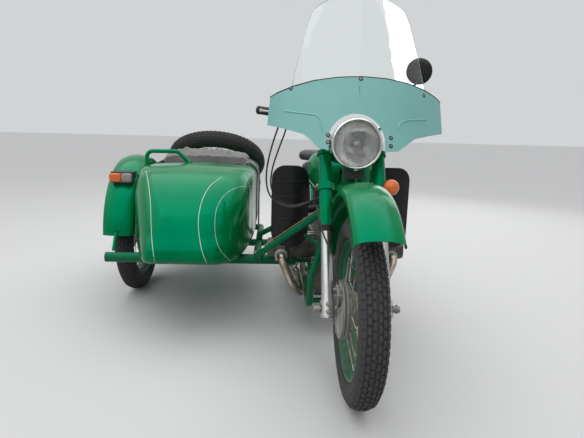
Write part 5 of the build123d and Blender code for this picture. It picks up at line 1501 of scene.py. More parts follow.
@dataclass
class ChassisFittings:
    """Tank cap and knee pads, shield beads, pegs' rubbers, ball joints, clamps and shock springs."""

    def build(self) -> None:
        """Make the chassis fittings."""
        self.tank()
        self.shields()
        self.pegs()
        self.joints()
        self.shocks()

    def tank(self) -> None:
        """Make the filler cap and the rubber knee pads."""
        form = Form("tank_cap", CHROME, STEEL)
        up = Vector((0, -0.03, 1))
        form.turned(
            ((0, -6), (34, -6), (35, 2), (38, 4), (39, 8), (39, 13), (36, 17), (20, 21), (0, 22)),
            place(0, 548, 889), up, 0, 56,
        )
        for step in range(12):
            angle = math.radians(30.0 * step)
            x, y = math.cos(angle), math.sin(angle)
            form.rivet(place(36.5 * x, 548 + 36.5 * y, 900), Vector((x, y, 0.3)), 4.0, 3.0)
        form.piece(Body.CHASSIS, "bright_steel")
        pads = Form("knee_pads", RUBBER)
        for s in (-1, 1):
            middle, way = place(s * 146.5, 625, 800), Vector((s, 0.08, 0.02)).normalized()
            aside = Vector((0, 1, -0.12)).normalized()
            beside = way.cross(aside).normalized()
            rings = []
            for lift, scale in ((-6.0, 1.0), (0.0, 1.0), (4.0, 0.95), (6.0, 0.82), (6.4, 0.5), (6.4, 0.02)):
                rings.append([
                    middle + (aside * 78 * y + beside * 38 * z) * scale / 1000 + way * lift / 1000
                    for y, z in squircle(3, 40)
                ])
            pads.skin(rings)
            for step in range(5):
                z = (step - 2) * 11.0
                half = 62.0 * math.sqrt(max(0.1, 1 - (z / 38.0) ** 2))
                at = middle + beside * (z / 1000) + way * 0.0064
                pads.tube([at + aside * (u * half / 1000) for u in (-1, -0.5, 0, 0.5, 1)], 2.0, 8)
        pads.piece(Body.CHASSIS, "rubber")

    def shields(self) -> None:
        """Make the rolled edges of the leg shields and the nuts of their stays."""
        form = Form("shield_edges", BLACK, STEEL)
        for s in (-1, 1):
            middle, half, low, high, corner = 232.5, 82.5, 455.0, 822.0, 60.0
            edge = rounded_box((middle - half, middle + half), (low, high), corner)
            points = []
            for x, z in spaced(edge, 14.0, loop=True):
                bow = 26.0 * (1.0 - ((x - middle) / half) ** 2)
                points.append(place(s * x, 522.0 - bow, z))
            form.tube(points, 3.4, 10, 0, loop=True)
            for z in (752.0, 683.0, 580.0):
                rib = [
                    (share, 519.6 - 26.0 * (1.0 - share**2))
                    for share in (step / 10 - 1.0 for step in range(21))
                ]
                form.tube([place(s * (middle + 0.93 * half * share), y, z) for share, y in rib], 3.0, 10)
            form.bolt(place(s * 160, 517, 500), FRONT, 13.0, 7.0, 1)
        form.piece(Body.CHASSIS, "black_paint")

    def pegs(self) -> None:
        """Make the ribbed rubbers on the foot pegs and pedal pads."""
        form = Form("peg_rubbers", RUBBER)
        for s in (-1, 1):
            for step in range(14):
                at = place(s * (158 + step * 7.0), 900, 291 + step * 0.33)
                form.turned(
                    ((12.8, -2), (15.6, -1.4), (15.6, 1.6), (12.8, 2.4)), at, Vector((s, 0, 0.048)), 0, 24,
                )
            form.turned(
                ((12.8, -3), (17, -2), (17, 2), (10, 5), (0, 5)), place(s * 262, 900, 296),
                Vector((s, 0, 0.048)), 0, 24,
            )
        form.turned(((8.2, 0), (13, 1), (13, 24), (8.2, 25)), place(160, 950, 520), LEFT, 0, 24)
        form.piece(Body.CHASSIS, "rubber")

    def joints(self) -> None:
        """Make the sidecar's ball joints, clamp bolts and cross tube caps."""
        form = Form("sidecar_joint_bolts", STEEL, GREEN_WORN, RUSTED)
        out = Vector((-1, 0, 0))
        for x, y, radius in ((-236, 700.0, 30.0), (-192, 1055.0, 28.0)):
            outline = ((radius - 1.5, 0), (radius + 3, 2), (radius + 3, 12), (radius - 1.5, 14))
            form.turned(outline, place(x, y, 330), out, 1, 6)
        for x, y, z in ((-230, 700, 362), (-176, 1055, 360), (-39, 322, 702), (-127, 1036, 520)):
            form.bolt(place(x, y, z), Vector((0, -0.5, 1)), 13.0, 9.0)
        for aside in (-18, 18):
            form.bolt(place(-376 + aside, 690, 366), UP, 14.0, 9.0)
        form.turned(
            ((0, 0), (21, 0), (21.6, 0.8), (25.2, 0.8), (25.4, -2.5)), place(-1146.6, 700, 330), out, 2, 48,
        )
        form.turned(((13, 0.2), (13, 1.6), (0, 1.6)), place(-1147, 700, 330), out, 2, 6)
        form.piece(Body.CHASSIS, "bare_steel")

    def shocks(self) -> None:
        """Make the rear shock absorbers' coil springs, rings and end nuts."""
        form = Form("shock_springs", CHROME, STEEL, RUBBER)
        for s in (-1, 1):
            foot, top = place(s * 164, 1452, 344), place(s * 164, 1390, 712)
            aside, beside, along = basis(top - foot)
            turns, sides = 4.6, 22
            coil = []
            for step in range(int(turns * sides) + 1):
                angle = 2.0 * math.pi * step / sides
                rise = 0.034 + 0.114 * step / (turns * sides)
                coil.append(
                    foot + along * rise + (aside * math.cos(angle) + beside * math.sin(angle)) * 0.0245
                )
            form.tube(coil, 3.4, 10)
            form.turned(
                ((20.5, 0), (29.5, 0), (29.5, 5), (27.5, 7), (20.5, 7)), foot + along * 0.146, along, 0, 40,
            )
            form.turned(((12, 0), (27, 2), (27, 6), (12, 6)), foot + along * 0.026, along, 0, 40)
            for y, z in ((1452, 344), (1390, 712)):
                form.turned(((17.2, -4), (19, -3), (19, 3), (17.2, 4)), place(s * 164, y, z), LEFT * s, 2, 32)
                form.bolt(place(s * 178, y, z), LEFT * s, 17.0, 9.0, 1)
        form.piece(Body.CHASSIS, "bright_steel")


# Soft goods


@dataclass
class Stuffing:
    """A cloth run that fills a closed form like a pad and limits how far it swells."""

    voxel: float = 0.006
    pressure: float = 4.0
    cap: float = 0.010
    frames: int = 20

    def fill(self, form: Form) -> bpy.types.Mesh:
        """Return the form's mesh, remeshed, swollen and subdivided once.

        Args:
            form: The closed form, a little smaller than the pad.

        Returns:
            The pad's mesh, with no modifier left on it.
        """
        scene = bpy.context.scene
        holder = linked(form.name, form.mesh(180.0))
        remesh = holder.modifiers.new("Remesh", "REMESH")
        remesh.mode = "VOXEL"
        remesh.voxel_size = self.voxel
        even = self.baked(holder)
        holder.modifiers.clear()
        holder.data = even
        start = [vertex.co.copy() for vertex in even.vertices]
        cloth = holder.modifiers.new("Cloth", "CLOTH")
        cloth.settings.quality = 4
        cloth.settings.mass = 0.3
        cloth.settings.use_pressure = True
        cloth.settings.uniform_pressure_force = self.pressure
        cloth.settings.effector_weights.gravity = 0.0
        for frame in range(1, self.frames + 1):
            scene.frame_set(frame)
        swollen = self.baked(holder)
        holder.modifiers.clear()
        for vertex, before in zip(swollen.vertices, start):
            travel = vertex.co - before
            if travel.length > self.cap:
                vertex.co = before + travel.normalized() * self.cap
        holder.data = swollen
        scene.frame_set(1)
        holder.modifiers.new("Subdivision", "SUBSURF").levels = 1
        done = self.baked(holder)
        bpy.data.objects.remove(holder)
        done.shade_smooth()
        return done

    @staticmethod
    def baked(holder: bpy.types.Object) -> bpy.types.Mesh:
        """Return the object's mesh with its modifiers worked in."""
        graph = bpy.context.evaluated_depsgraph_get()
        graph.update()
        made = bpy.data.meshes.new_from_object(holder.evaluated_get(graph))
        made.materials.clear()
        made.materials.append(VINYL.material())
        return made


@dataclass
class Saddle:
    """Sprung saddle pad with a welt round it, on a steel pan; both riders' are one shape."""

    places: tuple[tuple[str, Point], ...] = (
        ("rider_saddle", (0.0, 838.0, 748.0)), ("passenger_saddle", (0.0, 1190.0, 798.0)),
    )
    plan: Outline = (
        (0, 299), (70, 298), (128, 284), (158, 250), (166, 212), (150, 168), (120, 128), (92, 88), (76, 46),
        (62, 12), (30, 1), (0, 1),
    )
    stack: Outline = ((4, 0.86), (9, 0.93), (26, 0.95), (40, 0.93), (48, 0.87), (52, 0.76))

    def outline(self) -> list[tuple[float, float]]:
        """Return close points round the plan, in millimetres."""
        path = smooth_path([mm(x, y, 0) for x, y in self.plan])
        half = [(point.x * 1000, point.y * 1000) for point in path]
        return half[:-1] + [(-x, y) for x, y in reversed(half[1:])]

    def ring(self, scale: float, height: float) -> list[Vector]:
        """Return the plan drawn in by a scale at a height, in metres."""
        return [
            mm(x * scale, 170 + (y - 170) * scale, height + 7.0 * (y / 300.0) ** 2) for x, y in self.outline()
        ]

    def build(self) -> None:
        """Make both saddles."""
        form = Form("saddle_pad", VINYL)
        form.skin([self.ring(scale, height) for height, scale in self.stack])
        mesh = Stuffing(voxel=0.006, cap=0.008).fill(form)
        self.seams(mesh)
        trim = Form("saddle_trim", RUBBER, STEEL)
        trim.tube(self.on_pad(mesh, 15.0), 3.0, 10, 0, loop=True)
        pan = [self.ring(0.84, 0.3), self.ring(0.86, 1.2), self.ring(0.86, 4.4), self.ring(0.8, 5.0)]
        trim.skin([[Vector((p.x, p.y, min(p.z, 0.0052))) for p in ring] for ring in pan], slot=1)
        trimmed = trim.mesh()
        for name, at in self.places:
            matrix = Matrix.Translation(place(*at))
            pad = mount(f"{name}_pad", mesh, Body.CHASSIS, (name,), matrix)
            mount(f"{name}_trim", trimmed, Body.CHASSIS, (), matrix)

    @staticmethod
    def on_pad(mesh: bpy.types.Mesh, height: float) -> list[Vector]:
        """Return points round the pad's side at a height in millimetres."""
        tree = tree_of(mesh)
        found = []
        for step in range(96):
            angle = 2.0 * math.pi * step / 96
            way = Vector((math.cos(angle), math.sin(angle), 0))
            hit = tree.ray_cast(Vector((0, 0.19, height / 1000)), way)[0]
            if hit:
                found.append(hit - way * 0.0006)
        return found

    @staticmethod
    def seams(mesh: bpy.types.Mesh) -> None:
        """Press two lengthwise seams and a cross seam into the pad's top."""
        for vertex in mesh.vertices:
            x, y, z = vertex.co * 1000
            if z > 44.0:
                spread = 48.0 + 0.14 * y
                dip = sum(math.exp(-((x - s * spread) / 4.0) ** 2) for s in (-1, 1)) if y > 70 else 0.0
                dip += math.exp(-((y - 74.0 - abs(x) * 0.1) / 4.0) ** 2)
                vertex.co.z -= 0.0034 * min(dip, 1.0)


@dataclass
class SidecarSeat:
    """Base and back cushions of the sidecar, with sewn channels."""

    half: float = 218.0

    def build(self) -> None:
        """Make both cushions."""
        base = Form("sidecar_seat_base", VINYL)
        base.skin([self.ring(y0, y1, z, inset) for z, inset, y0, y1 in (
            (378, 14, 1074, 1396), (386, 2, 1070, 1398), (470, 2, 1068, 1392), (484, 12, 1072, 1388),
            (489, 34, 1088, 1372),
        )])
        self.cushion(base, 1)
        back = Form("sidecar_seat_back", VINYL)
        back.skin([self.ring(y0, y1, z, inset) for z, inset, y0, y1 in (
            (514, 14, 1414, 1470), (524, 2, 1408, 1477), (640, 0, 1416, 1474), (738, 2, 1424, 1466),
            (752, 14, 1432, 1460),
        )])
        self.cushion(back, 0)

    def ring(self, y0: float, y1: float, z: float, inset: float) -> list[Vector]:
        """Return a round-cornered rectangle at a height, in metres."""
        half = self.half - inset
        return [place(x, y, z) for x, y in rounded_box((-half, half), (y0, y1), 22.0, 6, TUB_X)]

    def cushion(self, form: Form, across: int) -> None:
        """Fill one cushion, sew its channels and mount it.

        Args:
            form: The cushion's closed form.
            across: 1 for channels on its top, 0 for channels on its front.
        """
        name = form.name
        mesh = Stuffing(voxel=0.008, cap=0.012).fill(form)
        middle = DATUM.x + TUB_X / 1000
        for vertex in mesh.vertices:
            aside = (vertex.co.x - middle) * 1000
            dip = sum(math.exp(-((aside - line) / 5.0) ** 2) for line in (-131, -44, 44, 131))
            if across and vertex.co.z > 0.478:
                vertex.co.z -= 0.006 * dip
            elif not across and vertex.normal.y < -0.6:
                vertex.co.y += 0.006 * dip
        piece = mount(name, mesh, Body.CHASSIS, ("sidecar_seat",))


@dataclass
class CanvasCover:
    """Canvas thrown over the seat back and down the tub's inner side, with its strap and hem."""

    section: Outline = (
        (-1008, 768), (-984, 784), (-968, 800), (-940, 806), (-860, 808), (-760, 809), (-660, 809),
        (-560, 808), (-492, 806),
        (-470, 794), (-448, 780), (-424, 764), (-409, 742), (-404, 712), (-403, 640), (-403, 560),
        (-403, 470), (-403, 372),
    )
    near: float = 1222.0
    flap: float = 40.0
    far: float = 1458.0
    rows: int = 56
    columns: int = 150

    def across(self) -> list[Vector]:
        """Return close points along the section, as x and z in millimetres."""
        line = smooth_path([mm(x, 0, z) for x, z in self.section])
        total = [0.0]
        for before, after in zip(line, line[1:]):
            total.append(total[-1] + (after - before).length)
        found, index = [], 0
        for step in range(self.columns + 1):
            reach = total[-1] * step / self.columns
            while index < len(total) - 2 and total[index + 1] < reach:
                index += 1
            share = (reach - total[index]) / max(1e-9, total[index + 1] - total[index])
            found.append(line[index].lerp(line[index + 1], min(1.0, share)) * 1000)
        return found

    def lift(self, x: float, v: float) -> float:
        """Return how far the cloth is bunched up above the tub, in millimetres."""
        body = max(0.0, 1.0 - abs((x + 715.0) / 292.0) ** 3.2)
        ridge = math.exp(-((v - 0.47 - 0.03 * math.sin(x / 61.0)) / 0.2) ** 2)
        folds = 5.0 * math.sin(x / 19.0 + 5.0 * v) * ridge
        folds += 3.4 * math.sin(x / 8.3 - 9.0 * v + 1.0) * (0.35 + ridge)
        wrinkles = 2.4 * math.sin(v * 21.0 + x / 47.0) + 1.5 * math.sin(v * 39.0 - x / 23.0)
        swell = 52.0 * ridge * (0.86 + 0.14 * math.sin(x / 83.0))
        return body * (1.0 + swell + max(-4.0, folds + wrinkles) + 4.0)

    def cloth(self) -> tuple[bpy.types.Mesh, float]:
        """Return the cloth's mesh and its area in square metres."""
        form = Form("canvas_cover", CLOTH)
        line = self.across()
        rings = []
        for row in range(self.rows + 1):
            v = row / self.rows
            ring = []
            for column, point in enumerate(line):
                u = column / self.columns
                hang = min(1.0, max(0.0, (744.0 - point.z) / 120.0)) if point.x > -430 else 0.0
                waves = 2.4 * math.sin(v * 17.0 + 0.8 * math.sin(u * 9.0)) + math.sin(v * 41.0 + 2.0)
                sway = hang * (2.6 + waves)
                x = point.x + sway
                run = (self.far - self.near) * v
                y = self.near + run + hang * 5.0 * math.sin(point.z / 70.0 + v * 3.0)
                y += 5.0 * math.sin(u * 31.0) * (0.5 - v)
                fold = max(0.0, self.flap - run) * min(1.0, max(0.0, (262.0 - abs(point.x - TUB_X)) / 26.0))
                y += 0.88 * fold
                rise = self.lift(point.x, v) if point.z > 790 else 0.0
                hem = 9.0 * math.sin(v * 6.0 + 0.7) * max(0, column - self.columns + 6) / 6.0
                ring.append(place(x, y, point.z + rise - 0.97 * fold + max(0.0, hem)))
            rings.append(ring)
        form.skin(rings, loop=False, ends=False)
        mesh = form.mesh(180.0)
        return mesh, sum(polygon.area for polygon in mesh.polygons)

    def build(self) -> None:
        """Make the canvas, its stitched hem and its buckled strap."""
        mesh, area = self.cloth()
        cloth = mount("canvas_cover", mesh, Body.CHASSIS, ("cockpit_cover",))
        count = self.columns + 1
        hem = Form("canvas_hem", CLOTH)
        for row in (0, self.rows):
            hem.tube([mesh.vertices[row * count + column].co.copy() for column in range(0, count, 2)], 1.7, 8)
        hem.tube(
            [mesh.vertices[row * count + self.columns].co.copy() for row in range(0, self.rows + 1, 2)], 1.7,
            8,
        )
        edge = hem.piece(Body.CHASSIS, "canvas")
        strap = self.strap()

    def strap(self) -> bpy.types.Object:
        """Make the dark strap down the inner side, with its steel buckle."""
        form = Form("canvas_strap", RUBBER, STEEL)
        line = (
            (-478, 1290, 812), (-440, 1288, 795), (-411, 1284, 762), (-397, 1280, 722), (-394, 1277, 680),
            (-393.5, 1276, 640), (-394, 1275, 598),
        )
        path = smooth_path([place(*point) for point in line])
        rings = []
        for index, point in enumerate(path):
            after, before = path[min(index + 1, len(path) - 1)], path[max(index - 1, 0)]
            out = (after - before).normalized().cross(BACK).normalized() * -0.0012
            wide = Vector((0, 0.0125, 0))
            rings.append([point - wide - out, point + wide - out, point + wide + out, point - wide + out])
        form.skin(rings)
        frame = [
            place(-391.5, 1259, 672), place(-391.5, 1293, 672), place(-391.5, 1293, 650),
            place(-391.5, 1259, 650),
        ]
        form.tube(frame, 1.6, 8, 1, loop=True)
        form.tube([place(-391, 1276, 672), place(-390.5, 1276, 650)], 1.3, 8, 1)
        return form.piece(Body.CHASSIS, "canvas")


# Rolled sheet metal


def arc(first: Outline, count: int = 14) -> list[tuple[float, float]]:
    """Return points on the circle through a start, a middle and an end."""
    (ax, ay), (bx, by), (cx, cy) = first
    scale = 2.0 * (ax * (by - cy) + bx * (cy - ay) + cx * (ay - by))
    squares = [ax * ax + ay * ay, bx * bx + by * by, cx * cx + cy * cy]
    mx = (squares[0] * (by - cy) + squares[1] * (cy - ay) + squares[2] * (ay - by)) / scale
    my = (squares[0] * (cx - bx) + squares[1] * (ax - cx) + squares[2] * (bx - ax)) / scale
    radius = math.hypot(ax - mx, ay - my)
    begin, end = math.atan2(ay - my, ax - mx), math.atan2(cy - my, cx - mx)
    turn = (end - begin + math.pi) % (2.0 * math.pi) - math.pi
    angles = [begin + turn * step / count for step in range(count + 1)]
    return [(mx + radius * math.cos(angle), my + radius * math.sin(angle)) for angle in angles]


@dataclass
class TubSkin:
    """The sidecar body, its nose pressed again with rolled edges where its three outlines meet."""

    seam: float = 1000.0
    middle: float = 575.0
    floor: float = 355.3
    roll: float = 120.0
    side_roll: float = 44.0
    steps: int = 120

    def limits(self) -> list[np.ndarray]:
        """Return the edges of the side view, the plan and the section, as normals with their distance."""
        bow = arc(((390.0, 430.0), (560.0, 668.0), (self.seam, 795.0)), 40)
        bow = [point for point in bow if point[1] > 470.0]
        under = arc(((486.0, self.floor), (416.0, 386.0), bow[0]), 14)
        side = [(1300.0, self.floor)] + under + bow[1:] + [(1300.0, 795.0)]
        plan = [(310.0, 1300.0), (310.0, self.seam)]
        plan += arc(((310.0, self.seam), (278.0, 640.0), (243.0, 525.0)))[1:] + arc(
            ((243.0, 525.0), (172.0, 426.0), (75.0, 375.0))
        )[1:]
        plan += arc(((75.0, 375.0), (0.0, 372.0), (-126.0, 381.0)), 6)[1:] + arc(
            ((-126.0, 381.0), (-155.0, 398.0), (-171.0, 426.0)), 6,
        )[1:]
        plan += arc(((-171.0, 426.0), (-262.0, 660.0), (-310.0, self.seam)))[1:] + [(-310.0, 1300.0)]
        section = arc(((-250.0, 780.0), (0.0, 795.0), (250.0, 780.0)), 16) + arc(
            ((250.0, 780.0), (293.0, 756.0), (310.0, 710.0)), 8,
        )[1:]
        section += arc(((310.0, 430.0), (286.0, 376.0), (232.0, self.floor)), 8)
        section += arc(((-232.0, self.floor), (-286.0, 376.0), (-310.0, 430.0)), 8) + arc(
            ((-310.0, 710.0), (-293.0, 756.0), (-250.0, 780.0)), 8,
        )[:-1]
        found = []
        for outline in (side, plan, section):
            loop = np.array(outline)
            way = np.roll(loop, -1, axis=0) - loop
            kept = np.hypot(way[:, 0], way[:, 1]) > 0.01
            loop, way = loop[kept], way[kept]
            out = np.stack((way[:, 1], -way[:, 0]), axis=1) / np.hypot(way[:, 0], way[:, 1])[:, None]
            if (out * (loop - loop.mean(axis=0))).sum() < 0.0:
                out = -out
            found.append(np.column_stack((out, (out * loop).sum(axis=1))))
        return found

    def outside(self, points: np.ndarray, limits: list[np.ndarray]) -> np.ndarray:
        """Return how far points lie outside the rolled form, in millimetres.

        Args:
            points: Places as x from the body's middle, y and z.
            limits: The three outlines' edges.

        Returns:
            One distance a point, negative inside.
        """
        side, plan, section = (
            (points[:, axes] @ limit[:, :2].T - limit[:, 2]).max(axis=1)
            for axes, limit in zip(([1, 2], [0, 1], [0, 2]), limits)
        )
        ease = np.clip((self.seam - points[:, 1]) / 220.0, 1e-4, 1.0)
        low = np.clip((points[:, 2] - 370.0) / 130.0, 0.3, 1.0)
        both = self.blend(side, plan, self.roll * ease * low)
        return self.blend(both, section, self.side_roll * ease)

    @staticmethod
    def blend(first: np.ndarray, second: np.ndarray, roll: np.ndarray) -> np.ndarray:
        """Return the larger of two distances, rounded off where they are alike."""
        share = np.clip(1.0 - np.abs(first - second) / roll, 0.0, 1.0)
        return np.maximum(first, second) + share**2 * roll / 4.0

    def nose(self) -> list[list[Vector]]:
        """Return the nose's points, one row for each upright cut through its middle."""
        turns = np.radians(np.linspace(-90.0, 90.0, self.steps + 1))
        rises = np.radians(np.linspace(-90.0, 90.0, self.steps + 1))
        a, e = (grid.ravel() for grid in np.meshgrid(turns, rises, indexing="ij"))
        ways = np.column_stack((np.cos(e) * np.sin(a), -np.cos(e) * np.cos(a), np.sin(e)))
        start = np.array((0.0, self.seam, self.middle))
        low, high = np.zeros(len(ways)), np.full(len(ways), 900.0)
        limits = self.limits()
        for _ in range(24):
            reach = (low + high) / 2.0
            beyond = self.outside(start + ways * reach[:, None], limits) > 0.0
            high, low = np.where(beyond, reach, high), np.where(beyond, low, reach)
        points = start + ways * low[:, None]
        rows = points.reshape(self.steps + 1, self.steps + 1, 3)
        return [[place(TUB_X + x, y, z) for x, y, z in row] for row in rows]

    def build(self, nodes: Nodes) -> bpy.types.Object:
        """Make the body's skin in place of its CAD node.

        Args:
            nodes: The CAD nodes by name.

        Returns:
            The new object.
        """
        form = Form("sidecar_tub_skin", GREEN)
        form.bm.from_mesh(nodes["sidecar_tub"].data)
        bmesh.ops.remove_doubles(form.bm, verts=form.bm.verts[:], dist=1e-5)
        every = form.bm.verts[:] + form.bm.edges[:] + form.bm.faces[:]
        bmesh.ops.bisect_plane(
            form.bm, geom=every, dist=1e-6, plane_co=place(0.0, self.seam, 0.0), plane_no=(0.0, -1.0, 0.0),
            clear_outer=True,
        )
        for face in form.bm.faces:
            face.material_index = 0
        form.skin(self.nose(), loop=False, ends=False)
        return form.piece(Body.CHASSIS, "green_paint", ("sidecar_tub",), 42.0)


@dataclass
class RolledGuard:
    """A mudguard rolled from sheet: rounded shoulders, short skirts, a wired edge and its stays."""

    node: str
    body: Body
    centre: Point
    half: float
    radius: float
    skirt: float
    start: float
    sweep: float
    stays: tuple[tuple[Vector, Vector, float], ...] = ()
    crown: float = 24.0
    sheet: float = 2.4
    shoulder: float = 17.0

    def profile(self) -> list[tuple[float, float]]:
        """Return half of the outer section, from the middle to the hem, as distance aside and radius."""
        arc = (self.half**2 + self.crown**2) / (2.0 * self.crown)
        turn_in = self.half - self.shoulder
        found = []
        for step in range(9):
            x = turn_in * step / 8
            found.append((x, self.radius - arc + math.sqrt(arc * arc - x * x)))
        edge = found[-1][1]
        slope = -turn_in / math.sqrt(arc * arc - turn_in * turn_in)
        bend = Vector((self.half - 1.0, edge + slope * (self.shoulder - 1.0)))
        low = Vector((self.half, edge - 1.5 * self.shoulder))
        first = Vector(found[-1])
        for step in range(1, 9):
            share = step / 8
            point = first * (1 - share) ** 2 + bend * (2 * share * (1 - share)) + low * share**2
            found.append((point.x, point.y))
        found.append((self.half, self.radius - self.skirt))
        return found

    def build(self) -> bpy.types.Object:
        """Make the guard in place of its CAD node."""
        form = Form(f"{self.node}_skin", GREEN)
        outer = self.profile()
        whole = [(-x, r) for x, r in reversed(outer[1:])] + outer
        inner = []
        for index, (x, r) in enumerate(whole):
            ahead, behind = whole[min(index + 1, len(whole) - 1)], whole[max(index - 1, 0)]
            way = Vector((ahead[0] - behind[0], ahead[1] - behind[1])).normalized()
            inner.append((x + way.y * self.sheet, r - way.x * self.sheet))
        loop = whole + inner[::-1]
        count = max(12, round(self.sweep / 2.5))
        angles = [math.radians(self.start + self.sweep * step / count) for step in range(count + 1)]
        form.skin([[self.at(angle, x, r) for x, r in loop] for angle in angles])
        hem = self.radius - self.skirt + 2.4
        for s in (-1, 1):
            form.tube([self.at(angle, s * (self.half - 2.6), hem) for angle in angles], 2.6, 10)
        across = [self.at(angles[0], x, r - 1.4) for x, r in whole]
        form.tube(across, 2.2, 8)
        for start, end, width in self.stays:
            form.tube([start, start.lerp(end, 0.5), end], width / 2.0, 20)
            form.turned(
                ((width / 2, 0), (width * 0.95, 0), (width * 0.95, 2.5), (width / 2, 3.0)), start,
                end - start, 0, 24,
            )
        return form.piece(self.body, "green_paint", (self.node,), 30.0)

    def at(self, angle: float, x: float, radius: float) -> Vector:
        """Return the point at an angle above level forward, a distance aside and a radius."""
        cx, cy, cz = self.centre
        return place(cx + x, cy - radius * math.cos(angle), cz + radius * math.sin(angle))


def mudguards() -> list[RolledGuard]:
    """Return the front and the sidecar mudguard."""
    bosses = tuple(
        (fork_place(s * 77.6, 0.0, 402.0), fork_place(s * 80.7, 0.0, 402.0), 16.0) for s in (-1, 1)
    )
    stay = (place(-1125.0, 803.0, 440.0), place(-1125.0, 747.0, 351.0), 18.0)
    return [
        RolledGuard(
            "front_mudguard", Body.FORK, (0.0, -30.0, 425.0), 79.0, 385.0, 46.0, 41.0, 135.0, bosses,
        ),
        RolledGuard(
            "sidecar_mudguard", Body.CHASSIS, (-1125.0, 1225.0, 388.0), 81.0, 430.0, 60.0, 4.0, 166.0,
            (stay,),
        ),
    ]


# Sidecar body trim


@dataclass
class TubTrim:
    """Pinstripes, cockpit piping, hinge bolts, lamps' lenses and the rail's bolts."""

    # The lines' places in the photograph, in pixels from its top left corner
    left_line: Outline = (
        (146, 171), (147.7, 178.8), (149.5, 190.7), (150.7, 205.9), (151.1, 222.2), (151.7, 238.5),
        (153.1, 252.6), (154.9, 263.4),
    )
    outer_loop: Outline = (
        (222, 177), (213, 182.5), (207, 190), (202, 200), (199, 212), (198, 224), (199, 235), (200.5, 245),
        (203, 255), (207, 264), (211, 271),
    )
    inner_loop: Outline = (
        (252, 186), (243, 186), (235, 188), (227, 192.5), (221, 199), (216.5, 208), (215, 217), (214.5, 228),
        (216, 240), (219, 248), (223, 254), (228, 259), (232, 262), (237, 262), (241, 260.5),
    )

    def build(self, tub: bpy.types.Object, camera: bpy.types.Object) -> None:
        """Make the tub's trim.

        Args:
            tub: The tub's skin.
            camera: The photograph's camera, whose rays place the pinstripes.
        """
        self.stripes(tub, camera)
        self.piping()
        self.lenses()
        self.bolts()

    def stripes(self, tub: bpy.types.Object, camera: bpy.types.Object) -> None:
        """Lay white painted lines on the tub where the photograph shows them."""
        tree = tree_of(tub.data)
        form = Form("pinstripes", WHITE_LINE)
        eye = camera.matrix_world.translation
        turn = camera.matrix_world.to_3x3()
        scale = SENSOR_WIDTH / camera.data.lens / PHOTO_WIDTH
        for loop, width in ((self.left_line, 2.8), (self.outer_loop, 2.6), (self.inner_loop, 1.6)):
            flat = smooth_path([Vector((x, y, 0)) for x, y in loop])
            line = []
            for point in flat:
                across, rise = point.x - PHOTO_WIDTH / 2.0, PHOTO_HEIGHT / 2.0 - point.y
                way = turn @ Vector((across * scale, rise * scale, -1.0))
                hit, normal, _, reach = tree.ray_cast(eye, way.normalized())
                if hit and reach < 4.0:
                    line.append((hit, normal))
            self.ribbon(form, line, width)
        form.piece(Body.CHASSIS, "green_paint")

    @staticmethod
    def ribbon(form: Form, line: Sequence[tuple[Vector, Vector]], width: float) -> None:
        """Lay one thin raised ribbon of a width in millimetres along points with normals."""
        rings = []
        for index, (point, normal) in enumerate(line):
            after, before = line[min(index + 1, len(line) - 1)][0], line[max(index - 1, 0)][0]
            aside = (after - before).cross(normal).normalized() * (width / 2000.0)
            out = normal * 0.0004
            rings.append([point - aside - out, point - aside + out, point + aside + out, point + aside - out])
        if len(rings) > 1:
            form.skin(rings)

    def piping(self) -> None:
        """Make the black beading round the cockpit's opening."""
        form = Form("cockpit_piping", RUBBER)
        line = []
        for x, y in spaced(rounded_box((-262.0, 262.0), (1015.0, 1480.0), 90.0), 16.0, loop=True):
            crown = 795.0 - 15.0 * (abs(x) / 250.0) ** 2
            line.append(place(TUB_X + x, y, crown - 1.0))
        form.tube(line, 4.0, 10, 0, loop=True)
        form.piece(Body.CHASSIS, "rubber")

    def lenses(self) -> None:
        """Make the marker's amber and clear lenses and the red tail lenses."""
        form = Form("marker_lenses", AMBER_LENS, CLEAR_LENS, RED_LENS, STEEL)
        self.lens(form, (-1146.0, 884.6, 712.0), (62.0, 46.0), 0, -1)
        self.lens(form, (-1086.0, 884.6, 712.0), (54.0, 46.0), 1, -1)
        self.lens(form, (-1125.0, 1600.4, 669.0), (92.0, 44.0), 2, 1)
        self.lens(form, (0.0, 1904.4, 533.0), (66.0, 50.0), 2, 1)
        for x, y, z, s in (
            (-1116, 880.5, 733, -1), (-1116, 880.5, 691, -1), (-1090, 1603, 684, 1), (-1160, 1603, 684, 1),
        ):
            form.rivet(place(x, y, z), Vector((0, s, 0)), 3.2, 2.0, 3)
        form.piece(Body.CHASSIS, "amber_plastic")

    @staticmethod
    def lens(form: Form, at: Point, size: tuple[float, float], slot: int, s: int) -> None:
        """Make one domed ribbed lens.

        Args:
            form: The lenses in the making.
            at: Middle of the lens, in millimetres from the datum.
            size: Its width and height in millimetres.
            slot: Slot of the finish.
            s: 1 where it faces back, -1 where it faces forward.
        """
        rings = []
        for out, scale in ((-3.0, 1.0), (5.0, 1.0), (8.0, 0.93), (9.6, 0.78), (10.0, 0.4), (10.0, 0.02)):
            rings.append([
                place(at[0] + size[0] / 2 * x * scale, at[1] + s * out, at[2] + size[1] / 2 * z * scale)
                for x, z in squircle(6, 32)
            ])
        form.skin(rings, slot=slot)
        for step in range(5):
            x = at[0] + (step - 2) * size[0] / 6.4
            ends = [place(x, at[1] + s * 9.8, at[2] + size[1] * share) for share in (-0.36, 0.36)]
            form.tube(ends, 1.1, 6, slot)

